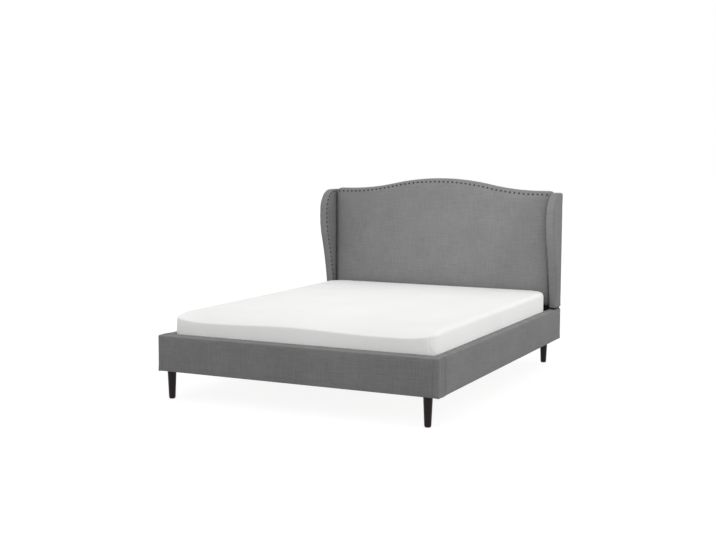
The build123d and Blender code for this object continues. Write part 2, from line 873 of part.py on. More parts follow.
with BuildPart() as centre_legs:
    with Locations(*centre_leg_places):
        add(centre_leg.part)
    drill(plate_screw_spots, short_screw_diameter, hanger_screw_length)
save(centre_legs, "centre_legs")

with BuildPart() as levelling_feet:
    with Locations(*centre_leg_places):
        Cylinder(centre_foot_diameter / 2, centre_foot_disc, align=(Align.CENTER, Align.CENTER, Align.MIN))
        Cylinder(
            centre_stud_diameter / 2,
            centre_foot_height + centre_stud_length,
            align=(Align.CENTER, Align.CENTER, Align.MIN),
        )
save(levelling_feet, "levelling_feet")


# Mattress and its fitted sheet
def mattress_form(grow):
    """Stacked rounded outlines: drawn-in base, full sides, soft shoulders and a low crown."""
    sections = [(height * mattress_height, inset * mattress_corner) for height, inset in mattress_side_shares]
    half_width = mattress_width / 2
    sections += [
        (mattress_height + rise * mattress_crown, inset * half_width) for rise, inset in mattress_crown_shares
    ]
    soft_corner = mattress_corner - sections[len(mattress_side_shares) - 1][1]
    full_height = mattress_height + mattress_crown
    with BuildPart() as form:
        for height, inset in sections:
            level = mattress_base + height + grow * (2 * height / full_height - 1)
            with BuildSketch(Plane((0, mattress_middle_y, level))):
                RectangleRounded(
                    mattress_width - 2 * inset + 2 * grow,
                    mattress_length - 2 * inset + 2 * grow,
                    max(mattress_corner - inset, soft_corner) + grow,
                )
        loft(ruled=True)
    return form.part


mattress_body = mattress_form(0)
with BuildPart() as mattress:
    add(mattress_body)
save(mattress, "mattress")

sheet_body = mattress_form(sheet_thickness)
with BuildPart() as fitted_sheet:
    add(sheet_body)
    add(mattress_body, mode=Mode.SUBTRACT)
    with Locations((0, mattress_middle_y, mattress_base)):
        Box(
            mattress_width - 2 * sheet_tuck,
            mattress_length - 2 * sheet_tuck,
            2 * sheet_thickness + overrun,
            mode=Mode.SUBTRACT,
        )
save(fitted_sheet, "fitted_sheet")
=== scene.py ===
"""An upholstered double bed: its covers, nail heads, stitching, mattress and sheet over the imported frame."""

from math import atan2, cos, exp, pi, radians, sin, sqrt, tau

import bmesh
import bpy
import numpy as np
from mathutils import Matrix, Vector, noise
from mathutils.bvhtree import BVHTree
from mathutils.kdtree import KDTree


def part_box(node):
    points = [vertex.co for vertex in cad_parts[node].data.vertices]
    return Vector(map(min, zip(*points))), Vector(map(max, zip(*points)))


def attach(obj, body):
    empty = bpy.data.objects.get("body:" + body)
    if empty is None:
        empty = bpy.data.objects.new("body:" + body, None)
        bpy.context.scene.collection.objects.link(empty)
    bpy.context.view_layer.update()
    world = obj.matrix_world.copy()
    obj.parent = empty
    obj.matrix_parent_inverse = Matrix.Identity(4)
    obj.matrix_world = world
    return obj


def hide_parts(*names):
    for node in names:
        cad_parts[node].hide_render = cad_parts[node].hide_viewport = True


bl_info = {
    "name": "Winged upholstered bed",
    "version": (1, 0, 0),
    "blender": (4, 5, 0),
    "location": "3D View > Sidebar > Bed",
    "description": "Covers, nail heads, stitching, mattress and sheet of a winged upholstered bed",
    "category": "Object",
}

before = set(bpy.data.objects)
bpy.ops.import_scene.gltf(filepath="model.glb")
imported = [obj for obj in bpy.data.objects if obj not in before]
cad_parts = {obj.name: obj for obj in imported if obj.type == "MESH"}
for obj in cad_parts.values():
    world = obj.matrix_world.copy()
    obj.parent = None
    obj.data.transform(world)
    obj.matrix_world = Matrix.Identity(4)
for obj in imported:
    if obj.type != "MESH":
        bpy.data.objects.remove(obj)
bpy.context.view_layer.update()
MM = 0.001
TINY = 1e-9
FABRIC = "Woven polyester cover"
LINING = "Felted lining"
NAIL_STEEL = "Antiqued steel nail"
ZINC = "Zinc-plated steel"


def linear(code):
    """An sRGB hex colour as linear red, green, blue and alpha."""
    channels = [int(code[place : place + 2], 16) / 255 for place in (1, 3, 5)]
    return tuple(c / 12.92 if c <= 0.04045 else ((c + 0.055) / 1.055) ** 2.4 for c in channels) + (1.0,)


def length_property(name, description, millimetres):
    """A length shown in the panel, with its default in millimetres."""
    return bpy.props.FloatProperty(
        name=name, description=description, default=millimetres * MM, unit="LENGTH"
    )


def colour_property(name, description, code):
    """A colour shown in the panel, with its default as an sRGB hex value."""
    return bpy.props.FloatVectorProperty(
        name=name, description=description, default=linear(code), size=4, subtype="COLOR", min=0, max=1
    )


# Sizes and colours that a user would change


class BedFrameSizes(bpy.types.PropertyGroup):
    rail_round: length_property("Rail edge", "Rounding of the padded rails' upper and upright edges", 7)
    rail_hem: length_property("Rail hem", "How far the covers reach below the rails' timber", 9)
    rail_seam_inset: length_property("Rail seam", "Distance from the foot rail's end to its upright seam", 36)
    rail_end_seam: length_property("End seam", "Distance from the foot rail's face to its end seam", 34)
    headboard_round: length_property("Headboard edge", "Rounding of the headboard's front edge", 20)
    side_roll: length_property("Side roll", "How far the headboard's padding falls back at its sides", 10)
    shoulder_round: length_property("Shoulder", "Rounding of the headboard's two upper corners", 30)
    crown_drop: length_property("Crown drop", "Height of the camel-back hump above the shoulders", 76)
    crown_span: length_property("Crown span", "Distance from the middle to the level shoulders", 710)
    wing_foot_depth: length_property("Wing foot", "Depth of the wings at their foot", 107)
    wing_waist_depth: length_property("Wing waist", "Depth of the wings where hollow turns to swell", 199)
    wing_waist_height: length_property("Waist height", "Height of that place above the floor", 795)
    wing_top_depth: length_property("Wing top", "Depth of the wings at their top, without the nose", 190)
    wing_nose: length_property("Wing nose", "Radius of the wings' round nose", 146)
    wing_round: length_property("Wing edge", "Rounding of the wings' edges", 10)
    wing_spare: length_property("Wing fullness", "How far a wing's cover stands out past its padding", 3)
    pad_swell: length_property("Swell", "How far the foam may push a cover out", 3)


class BedTrimSizes(bpy.types.PropertyGroup):
    nail_diameter: length_property("Nail head", "Width across a nail head", 13.5)
    nail_height: length_property("Nail dome", "Height of a nail head above the cloth", 4)
    nail_pitch: length_property("Nail spacing", "Distance between nail heads", 32.3)
    nail_margin: length_property("Nail row", "Distance of the headboard's nail row below its edge", 25)
    wing_nail_margin: length_property("Wing nail row", "Distance of a wing's nail row from its edge", 17)
    stitch_length: length_property("Stitch", "Length of one stitch", 4.2)
    stitch_width: length_property("Thread", "Thickness of the sewing thread", 0.9)
    stitch_pitch: length_property("Stitch spacing", "Distance from stitch to stitch", 6)
    welt_diameter: length_property("Welt", "Thickness of the piped welt under each wing", 6)
    staple_pitch: length_property("Staple spacing", "Distance between staples in the back lining", 48)


class BedBeddingSizes(bpy.types.PropertyGroup):
    mattress_corner: length_property("Left corner", "Radius of the foot's left corner above the rails", 42)
    mattress_right_corner: length_property("Right corner", "Radius of the right one, which is slacker", 72)
    mattress_foot_corner: length_property("Lower corner", "Radius of those corners below the rails' top", 100)
    mattress_head_corner: length_property("Head corner", "Radius of the mattress's corners at the head", 122)
    mattress_edge: length_property("Mattress edge", "Rounding of the mattress's upper edge at its sides", 22)
    mattress_crest: length_property("Foot crest", "Rounding of the crisp edge across the foot", 6)
    mattress_drop: length_property("Foot drop", "How far the top rolls down to that edge", 36)
    mattress_climb: length_property("Mattress climb", "How much higher the mattress's top is at its head", 5)
    mattress_crown: length_property("Mattress crown", "Rise of the middle of the mattress", 5)
    sheet_thickness: length_property("Sheet", "Thickness of the sheet's cotton", 0.9)
    sheet_tuck: length_property("Tuck", "How far the sheet runs in under the mattress", 150)
    sheet_ease: bpy.props.FloatProperty(
        name="Sheet ease", description="Spare width of its skirt, as a share", default=0.03, min=0, max=0.1
    )


class BedColours(bpy.types.PropertyGroup):
    fabric: colour_property("Fabric", "Mid tone of the woven cover fabric", "#808080")
    fabric_shade: colour_property("Fabric shade", "The darker yarns of the cover fabric", "#707071")
    thread: colour_property("Thread", "Sewing thread on the covers", "#6c6c6e")
    nails: colour_property("Nail heads", "Antiqued steel of the nail heads", "#54504d")
    sheet: colour_property("Sheet", "Bleached cotton of the fitted sheet", "#f3f3f2")
    ticking: colour_property("Ticking", "Knitted cover of the mattress", "#e4e2dc")
    legs: colour_property("Legs", "Dark lacquer on the turned legs", "#201515")
    lining: colour_property("Lining", "Felted lining on the headboard's back", "#222224")


# Nodes and materials


def add_node(tree, kind, wires=None, **settings):
    """Add one node, set its properties, and give its inputs values or links."""
    made = tree.nodes.new(kind)
    for name, value in settings.items():
        setattr(made, name, value)
    for name, value in (wires or {}).items():
        if isinstance(value, bpy.types.NodeSocket):
            tree.links.new(value, made.inputs[name])
        else:
            made.inputs[name].default_value = value
    return made


def start_material(name):
    """The node tree of a new, empty material and its Object coordinates."""
    made = bpy.data.materials.new(name)
    made.use_nodes = True
    made.node_tree.nodes.clear()
    return made.node_tree, add_node(made.node_tree, "ShaderNodeTexCoord").outputs["Object"]


def end_material(tree, wires):
    """End the tree in a Principled shader with these inputs."""
    shader = add_node(tree, "ShaderNodeBsdfPrincipled", wires)
    add_node(tree, "ShaderNodeOutputMaterial", {"Surface": shader.outputs[0]})


def finish(name):
    """A material that the prepare operator made."""
    return bpy.data.materials[name]


def stretched_noise(tree, place, patch, detail=2.0, roughness=0.5):
    """Noise whose patches have this size in millimetres, along x, y and z if there are three."""
    sizes = patch if isinstance(patch, tuple) else (patch, patch, patch)
    scale = tuple(1 / (size * MM) for size in sizes)
    mapped = add_node(tree, "ShaderNodeMapping", {"Vector": place, "Scale": scale})
    wires = {"Vector": mapped.outputs[0], "Scale": 1.0, "Detail": detail, "Roughness": roughness}
    return add_node(tree, "ShaderNodeTexNoise", wires).outputs["Fac"]


def blend_colours(tree, share, low, high, first, second):
    """From the first colour to the second as share goes from low to high."""
    spread = add_node(tree, "ShaderNodeMapRange", {"Value": share, "From Min": low, "From Max": high})
    mixed = add_node(tree, "ShaderNodeMix", {0: spread.outputs[0], 6: first, 7: second}, data_type="RGBA")
    return mixed.outputs[2]


def woven_fabric(name, light, shade):
    """Upholstery weave of spun polyester: matt, with long uneven yarns both ways and a slight nap."""
    tree, place = start_material(name)
    # Yarns are 1 mm wide, drawn 3 mm wide and 83 mm long so that they show
    pitch = 3 * MM
    width, length = 3.03, 83.33
    weft = stretched_noise(tree, place, (length, length, width))
    warp = stretched_noise(tree, place, (width, width, length))
    cloud = stretched_noise(tree, place, 200, 3.0)
    yarns = add_node(tree, "ShaderNodeMath", {0: weft, 1: warp}, operation="ADD").outputs[0]
    tone = add_node(tree, "ShaderNodeMath", {0: cloud, 1: 0.5, 2: yarns}, operation="MULTIPLY_ADD")
    split = add_node(tree, "ShaderNodeSeparateXYZ", {0: place}).outputs
    level = add_node(tree, "ShaderNodeMath", {0: split[0], 1: split[1]}, operation="ADD").outputs[0]
    waves = []
    for way in (level, split[2]):
        turn = add_node(tree, "ShaderNodeMath", {0: way, 1: tau / pitch}, operation="MULTIPLY").outputs[0]
        waves.append(add_node(tree, "ShaderNodeMath", {0: turn}, operation="SINE").outputs[0])
    weave = add_node(tree, "ShaderNodeMath", {0: waves[0], 1: waves[1]}, operation="MULTIPLY").outputs[0]
    relief = add_node(tree, "ShaderNodeMath", {0: weave, 1: 0.25, 2: yarns}, operation="MULTIPLY_ADD")
    height = relief.outputs[0]
    bump = add_node(tree, "ShaderNodeBump", {"Height": height, "Strength": 0.35, "Distance": 0.8 * MM})
    wires = {
        "Base Color": blend_colours(tree, tone.outputs[0], 0.95, 1.55, shade, light),
        "Roughness": 0.92,
        "Specular IOR Level": 0.15,
        "Sheen Weight": 0.2,
        "Sheen Roughness": 0.3,
        "Normal": bump.outputs[0],
    }
    end_material(tree, wires)


def plain_cloth(name, colour, shade, thread, bump, sheen):
    """A fine cloth: matt, with a close thread texture and a faint unevenness of tone."""
    tree, place = start_material(name)
    cloud = stretched_noise(tree, place, 333.3, 3.0)
    threads = stretched_noise(tree, place, thread, 1.0)
    relief = add_node(tree, "ShaderNodeBump", {"Height": threads, "Strength": bump, "Distance": 0.4 * MM})
    wires = {
        "Base Color": blend_colours(tree, cloud, 0.35, 0.65, shade, colour),
        "Roughness": 0.9,
        "Specular IOR Level": 0.2,
        "Sheen Weight": sheen,
        "Sheen Roughness": 0.5,
        "Normal": relief.outputs[0],
    }
    end_material(tree, wires)


def timber(name, light, dark, grain, roughness, specular=0.5):
    """Sawn or turned wood, with the size of its grain in millimetres along x, y and z."""
    tree, place = start_material(name)
    rings = stretched_noise(tree, place, grain, 5.0, 0.6)
    pores = stretched_noise(tree, place, tuple(size / 9 for size in grain))
    figure = add_node(tree, "ShaderNodeMath", {0: pores, 1: 0.3, 2: rings}, operation="MULTIPLY_ADD")
    bump = add_node(tree, "ShaderNodeBump", {"Height": pores, "Strength": 0.15, "Distance": 0.2 * MM})
    wires = {
        "Base Color": blend_colours(tree, figure.outputs[0], 0.43, 0.87, dark, light),
        "Roughness": roughness,
        "Specular IOR Level": specular,
        "Normal": bump.outputs[0],
    }
    end_material(tree, wires)


def metal(name, colour, worn, roughness):
    """Plated or oxidised steel, whose tone and polish vary a little from place to place."""
    tree, place = start_material(name)
    patch = stretched_noise(tree, place, 4.545, 3.0)
    limits = {"Value": patch, "To Min": roughness - 0.08, "To Max": roughness + 0.12}
    polish = add_node(tree, "ShaderNodeMapRange", limits)
    tone = blend_colours(tree, patch, 0.35, 0.7, worn, colour)
    end_material(tree, {"Base Color": tone, "Metallic": 1.0, "Roughness": polish.outputs[0]})


def coated(name, colour, shade, grain, roughness, bump):
    """A dull even coat or moulding with a fine grain: powder coat, polypropylene or hardboard."""
    tree, place = start_material(name)
    grit = stretched_noise(tree, place, grain)
    relief = add_node(tree, "ShaderNodeBump", {"Height": grit, "Strength": bump, "Distance": 0.2 * MM})
    tone = blend_colours(tree, grit, 0.3, 0.7, shade, colour)
    end_material(tree, {"Base Color": tone, "Roughness": roughness, "Normal": relief.outputs[0]})


# Meshes


def ramp(value, width):
    """A share that climbs from 0, where the value is 0, to 1, where it is the width or more."""
    return np.clip(value / width, 0, 1)


def add_object(name, data):
    """A new object in the scene."""
    made = bpy.data.objects.new(name, data)
    bpy.context.scene.collection.objects.link(made)
    return made


def mesh_piece(name, points, faces, edges=()):
    """A new piece with this mesh."""
    shape = bpy.data.meshes.new(name)
    shape.from_pydata([tuple(p) for p in points], list(edges), list(faces))
    shape.update()
    return add_object(name, shape)


def bake(piece):
    """Turn the piece and its modifiers into one plain mesh."""
    bpy.context.view_layer.update()
    graph = bpy.context.evaluated_depsgraph_get()
    shape = bpy.data.meshes.new_from_object(piece.evaluated_get(graph))
    piece.modifiers.clear()
    old = piece.data
    piece.data = shape
    bpy.data.meshes.remove(old)
    return piece


def read_points(piece, what="co"):
    """The places of the piece's vertices, or their normals, one row each."""
    flat = np.empty(len(piece.data.vertices) * 3)
    piece.data.vertices.foreach_get(what, flat)
    return flat.reshape(-1, 3)


def write_points(piece, points):
    """Move the piece's vertices to these places."""
    piece.data.vertices.foreach_set("co", np.ascontiguousarray(points).ravel())
    piece.data.update()


def dress(piece, material, nodes=(), body="frame"):
    """Give a finished piece its material and smooth shading, hide the nodes it stands for, and hang it on its
    body.
    """
    piece.data.materials.clear()
    piece.data.materials.append(finish(material))
    piece.data.shade_smooth()
    if nodes:
        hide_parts(*nodes)
    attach(piece, body)


def prism(name, outline, place, depths, rounds, keep_sharp=None):
    """A slab of an outline between two depths, with rounded rims; place gives a point for both."""
    form = bmesh.new()
    rims = []
    for depth in depths:
        rims.append([form.verts.new(place(a, b, depth)) for a, b in outline])
    count = len(outline)
    for here in range(count):
        there = (here + 1) % count
        form.faces.new((rims[0][here], rims[0][there], rims[1][there], rims[1][here]))
    for rim in rims:
        form.faces.new(rim)
    bmesh.ops.recalc_face_normals(form, faces=form.faces)
    for rim, size in zip(rims, rounds):
        own = set(rim)
        edges = [e for e in form.edges if own.issuperset(e.verts) and not (keep_sharp and keep_sharp(e))]
        if size:
            bmesh.ops.bevel(form, geom=edges, offset=size, segments=5, profile=0.5, affect="EDGES")
    piece = mesh_piece(name, [], [])
    form.to_mesh(piece.data)
    form.free()
    return piece


def places_between(low, high, step, close):
    """Places from low to high: at the close distances from both ends, and about a step apart between them."""
    first = low + close[-1]
    last = high - close[-1]
    count = max(1, round((last - first) / step))
    even = [first + (last - first) * number / count for number in range(count + 1)]
    return [low + c for c in close[:-1]] + even + [high - c for c in reversed(close[:-1])]


def box_grid(name, xs, ys, zs):
    """The surface of a box as quads whose corners are at those places."""
    index = {}
    points = []
    faces = []
    places = (xs, ys, zs)

    def corner(key):
        if key not in index:
            index[key] = len(points)
            points.append(tuple(places[axis][key[axis]] for axis in range(3)))
        return index[key]

    for axis in range(3):
        along, across = (axis + 1) % 3, (axis + 2) % 3
        for end in (0, len(places[axis]) - 1):
            for a in range(len(places[along]) - 1):
                for b in range(len(places[across]) - 1):
                    ring = []
                    for da, db in ((0, 0), (1, 0), (1, 1), (0, 1)):
                        key = [0, 0, 0]
                        key[axis], key[along], key[across] = end, a + da, b + db
                        ring.append(corner(tuple(key)))
                    faces.append(ring if end else ring[::-1])
    return mesh_piece(name, points, faces)


def rounded_block(name, low, high, radius, step, seams=((), ())):
    """A block of even quads with its edges rounded, tighter below, and closer quads at its seams' x and y."""
    close = [radius * share for share in (0, 0.2, 0.45, 0.7, 1)]
    seam_room = 5 * MM
    beside_seam = (-4.5, -2.2, -1, 0, 1, 2.2, 4.5)
    xs, ys, zs = (places_between(a, b, step, close) for a, b in zip(low, high))
    for lines, places in zip((xs, ys), seams):
        for seam in places:
            lines[:] = [line for line in lines if abs(line - seam) > seam_room]
            lines += [seam + aside * MM for aside in beside_seam]
        lines.sort()
    piece = box_grid(name, xs, ys, zs)
    points = read_points(piece)
    levels = (low[2] + 2 * radius, low[2] + 6 * radius)
    round_here = np.interp(points[:, 2], levels, (0.4 * radius, radius))[:, None]
    core = np.clip(points, np.array(low) + round_here, np.array(high) - round_here)
    out = points - core
    reach = np.linalg.norm(out, axis=1)[:, None]
    write_points(piece, core + out * np.minimum(1, round_here / np.maximum(reach, TINY)))
    return piece


def remesh(piece, voxel):
    """Even quads all over, small enough for cloth to bend."""
    grid = piece.modifiers.new("Even quads", "REMESH")
    grid.mode = "VOXEL"
    grid.voxel_size = voxel
    bake(piece)


def run_cloth(piece, cloth, frames):
    """Step the simulation to its last frame and make its result the piece's plain mesh."""
    cloth.point_cache.frame_start = 1
    cloth.point_cache.frame_end = frames
    for number in range(1, frames + 1):
        bpy.context.scene.frame_set(number)
    bake(piece)
    bpy.context.scene.frame_set(1)


def hold_back(piece, before, limit):
    """Let no point be further than the limit from where it was before."""
    move = read_points(piece) - before
    share = np.minimum(1, limit / np.maximum(np.linalg.norm(move, axis=1), TINY))
    write_points(piece, before + move * share[:, None])


def swell(piece, cap, freedom, frames=20):
    """Blow the cover out with Cloth as its foam does; freedom says how freely each point may move, 0 to 1."""
    before = read_points(piece)
    cloth = piece.modifiers.new("Swell", "CLOTH")
    cloth.settings.quality = 5
    cloth.settings.use_pressure = True
    cloth.settings.uniform_pressure_force = 4
    cloth.settings.effector_weights.gravity = 0
    run_cloth(piece, cloth, frames)
    hold_back(piece, before, cap * freedom(before))


def refine(piece):
    """One level of subdivision."""
    finer = piece.modifiers.new("Finer", "SUBSURF")
    finer.levels = 1
    finer.render_levels = 1
    bake(piece)


def press_along(piece, path, depth, width):
    """Press a soft groove into the piece along a path, as a seam or a row of nails pulls the cloth down."""
    tree = KDTree(len(path))
    for number, point in enumerate(path):
        tree.insert(point, number)
    tree.balance()
    points = read_points(piece)
    near = np.array([tree.find(p)[2] for p in points])
    points -= read_points(piece, "normal") * (depth * np.exp(-((near / width) ** 2)))[:, None]
    write_points(piece, points)


def snapped(path, direction, piece):
    """The path laid on the piece's surface, looked for along a direction from a little way off."""
    shape = bmesh.new()
    shape.from_mesh(piece.data)
    surface = BVHTree.FromBMesh(shape)
    shape.free()
    ahead = Vector(direction)
    back = 50 * MM * ahead
    return [surface.ray_cast(point - back, ahead)[0] or point for point in path]


def mirrored(piece):
    """The left-hand copy of a right-hand piece."""
    shape = piece.data.copy()
    shape.transform(Matrix.Scale(-1, 4, (1, 0, 0)))
    shape.flip_normals()
    return add_object(piece.name.replace("right", "left"), shape)


def tube(name, path, radius):
    """A closed round tube along the straight runs of a path."""
    line = bpy.data.curves.new(name, "CURVE")
    line.dimensions = "3D"
    line.bevel_depth = radius
    line.bevel_resolution = 3
    line.use_fill_caps = True
    run = line.splines.new("POLY")
    run.points.add(len(path) - 1)
    for point, place in zip(run.points, path):
        point.co = (*place, 1)
    cord = add_object(name, line)
    bpy.context.view_layer.update()
    graph = bpy.context.evaluated_depsgraph_get()
    shape = bpy.data.meshes.new_from_object(cord.evaluated_get(graph))
    bpy.data.objects.remove(cord)
    bpy.data.curves.remove(line)
    return add_object(name, shape)


def stretch(start, end, count):
    """Points along a straight path."""
    return [Vector(start).lerp(Vector(end), number / count) for number in range(count + 1)]


def path_points(path, step):
    """Points along a path at an even step."""
    spread = [path[0]]
    for before, after in zip(path, path[1:]):
        count = max(1, round((after - before).length / step))
        spread += [before.lerp(after, number / count) for number in range(1, count + 1)]
    return spread


def path_length(path):
    """The length of a path."""
    return sum((b - a).length for a, b in zip(path, path[1:]))


def trimmed(path, start, end):
    """The part of a path between two distances along it."""
    kept = []
    run = 0.0
    for before, after in zip(path, path[1:]):
        length = (after - before).length
        for limit in (start, end):
            if run <= limit <= run + length:
                kept.append(before.lerp(after, (limit - run) / length))
        if start < run + length < end:
            kept.append(after)
        run += length
    return kept


def arc_through(start, heading, end, count):
    """Points of the arc that leaves start along heading and passes end, its last heading and its centre."""
    chord = Vector(end) - Vector(start)
    normal = Vector((-heading.y, heading.x))
    radius = chord.length_squared / (2 * chord.dot(normal))
    centre = Vector(start) + normal * radius
    sweep = 2 * atan2(chord.dot(normal), chord.dot(heading))
    points = []
    for number in range(count + 1):
        turn = Matrix.Rotation(sweep * number / count, 2)
        points.append(centre + turn @ (Vector(start) - centre))
    return points, Matrix.Rotation(sweep, 2) @ heading, centre


# Outlines that more than one piece follows


def crown_line(peak, reach):
    """The camel-back line seen from the front: its right half, from the middle out to reach."""
    sizes = bpy.context.scene.bed_frame
    span = sizes.crown_span
    drop = sizes.crown_drop
    steps = 14
    hump, heading, _ = arc_through((0, peak), Vector((1, 0)), (span / 2, peak - drop / 2), steps)
    hollow, _, _ = arc_through(hump[-1], heading, (span, peak - drop), steps)
    shoulder = [(span + (reach - span) * share, peak - drop) for share in (0.5, 1)]
    return [tuple(p) for p in hump + hollow[1:]] + shoulder


def both_halves(half):
    """A right half that starts at the middle, with its mirror image before it, from left to right."""
    return [(-x, z) for x, z in reversed(half[1:])] + list(half)


def wing_front(inset=0.0):
    """The wing's front edge seen from the side, from its foot up, over its nose, to the level top."""
    sizes = bpy.context.scene.bed_frame
    low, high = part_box("wing_cover_right")
    head = high.y
    lean = radians(6)
    arc_steps = 26
    nose_steps = 12
    foot = (head - sizes.wing_foot_depth, low.z)
    waist = (head - sizes.wing_waist_depth, sizes.wing_waist_height)
    top = (head - sizes.wing_top_depth, high.z)
    hollow, heading, _ = arc_through(foot, Vector((-sin(lean), cos(lean))), waist, arc_steps)
    swelling, heading, middle = arc_through(waist, heading, top, arc_steps)
    big = (Vector(waist) - middle).length
    rise = high.z - sizes.wing_nose - middle.y
    nose_centre = Vector((middle.x - sqrt((big - sizes.wing_nose) ** 2 - rise**2), high.z - sizes.wing_nose))
    start = (nose_centre - middle).normalized() * sizes.wing_nose
    lower = [p for p in swelling if atan2(p.y - middle.y, middle.x - p.x) < atan2(start.y, -start.x)]
    first = atan2(start.y, start.x)
    nose = []
    for number in range(nose_steps + 1):
        angle = first + (pi / 2 - first) * number / nose_steps
        nose.append(nose_centre + Vector((cos(angle), sin(angle))) * sizes.wing_nose)
    line = hollow[:-1] + lower + nose
    if not inset:
        return line
    inner = []
    for before, here, after in zip([line[0]] + line[:-1], line, line[1:] + [line[-1]]):
        along = (after - before).normalized()
        inner.append(here + Vector((along.y, -along.x)) * inset)
    return inner


# Rows that repeat along a path, made with Geometry Nodes


def row_tree(name, follow):
    """A tree that sets small domes along a path, turned as the path runs or else all by the same Turn."""
    tree = bpy.data.node_groups.new(name, "GeometryNodeTree")
    face = tree.interface
    face.new_socket(name="Path", in_out="INPUT", socket_type="NodeSocketGeometry")
    for label, default in (("Spacing", 0.03), ("Length", 0.01), ("Width", 0.01), ("Height", 0.004)):
        socket = face.new_socket(name=label, in_out="INPUT", socket_type="NodeSocketFloat")
        socket.default_value = default
    if not follow:
        face.new_socket(name="Turn", in_out="INPUT", socket_type="NodeSocketVector")
    face.new_socket(name="Material", in_out="INPUT", socket_type="NodeSocketMaterial")
    face.new_socket(name="Row", in_out="OUTPUT", socket_type="NodeSocketGeometry")
    given = add_node(tree, "NodeGroupInput").outputs
    curve = add_node(tree, "GeometryNodeMeshToCurve", {"Mesh": given["Path"]})
    wires = {"Curve": curve.outputs[0], "Length": given["Spacing"]}
    spots = add_node(tree, "GeometryNodeResampleCurve", wires, mode="LENGTH")
    bead = add_node(tree, "GeometryNodeMeshUVSphere", {"Segments": 10, "Rings": 6, "Radius": 0.5})
    wires = {"X": given["Length"], "Y": given["Width"], "Z": given["Height"]}
    size = add_node(tree, "ShaderNodeCombineXYZ", wires)
    shaped = add_node(tree, "GeometryNodeTransform", {"Geometry": bead.outputs[0], "Scale": size.outputs[0]})
    if follow:
        tangent = add_node(tree, "GeometryNodeInputTangent").outputs[0]
        turned = add_node(tree, "FunctionNodeAlignRotationToVector", {"Vector": tangent}, axis="X")
    else:
        turned = add_node(tree, "FunctionNodeEulerToRotation", {0: given["Turn"]})
    wires = {"Points": spots.outputs[0], "Instance": shaped.outputs[0], "Rotation": turned.outputs[0]}
    row = add_node(tree, "GeometryNodeInstanceOnPoints", wires)
    real = add_node(tree, "GeometryNodeRealizeInstances", {"Geometry": row.outputs[0]})
    wires = {"Geometry": real.outputs[0], "Material": given["Material"]}
    painted = add_node(tree, "GeometryNodeSetMaterial", wires)
    add_node(tree, "NodeGroupOutput", {"Row": painted.outputs[0]})


def run_row(kind, name, paths, material, values, nodes=()):
    """A dressed piece, in one plain mesh, of all that a kind of row sets along the paths."""
    points = []
    edges = []
    for path in paths:
        start = len(points)
        points += path
        edges += [(number, number + 1) for number in range(start, len(points) - 1)]
    piece = mesh_piece(name, points, [], edges)
    row = piece.modifiers.new("Row", "NODES")
    row.node_group = bpy.data.node_groups[kind]
    sockets = row.node_group.interface.items_tree
    keys = {item.name: item.identifier for item in sockets if item.in_out == "INPUT"}
    row[keys["Material"]] = finish(material)
    for label, value in values.items():
        row[keys[label]] = value
    dress(bake(piece), material, nodes)


def stitch_row(name, paths):
    """Rows of sewing stitches along the paths."""
    trim = bpy.context.scene.bed_trim
    thread = trim.stitch_width
    sizes = {"Spacing": trim.stitch_pitch, "Length": trim.stitch_length, "Width": thread, "Height": thread}
    run_row("Stitch row", name, paths, "Sewing thread", sizes)


def nail_row(name, path, turn, node):
    """A row of domed nail heads along the path, which stands for a node."""
    trim = bpy.context.scene.bed_trim
    across = trim.nail_diameter
    sizes = {"Spacing": trim.nail_pitch, "Length": across, "Width": across, "Height": 2 * trim.nail_height}
    run_row("Nail row", name, [path], NAIL_STEEL, {**sizes, "Turn": turn}, [node])


class BedOperator(bpy.types.Operator):
    """Shared ground of the bed's operators."""

    bl_options = {"REGISTER", "UNDO"}


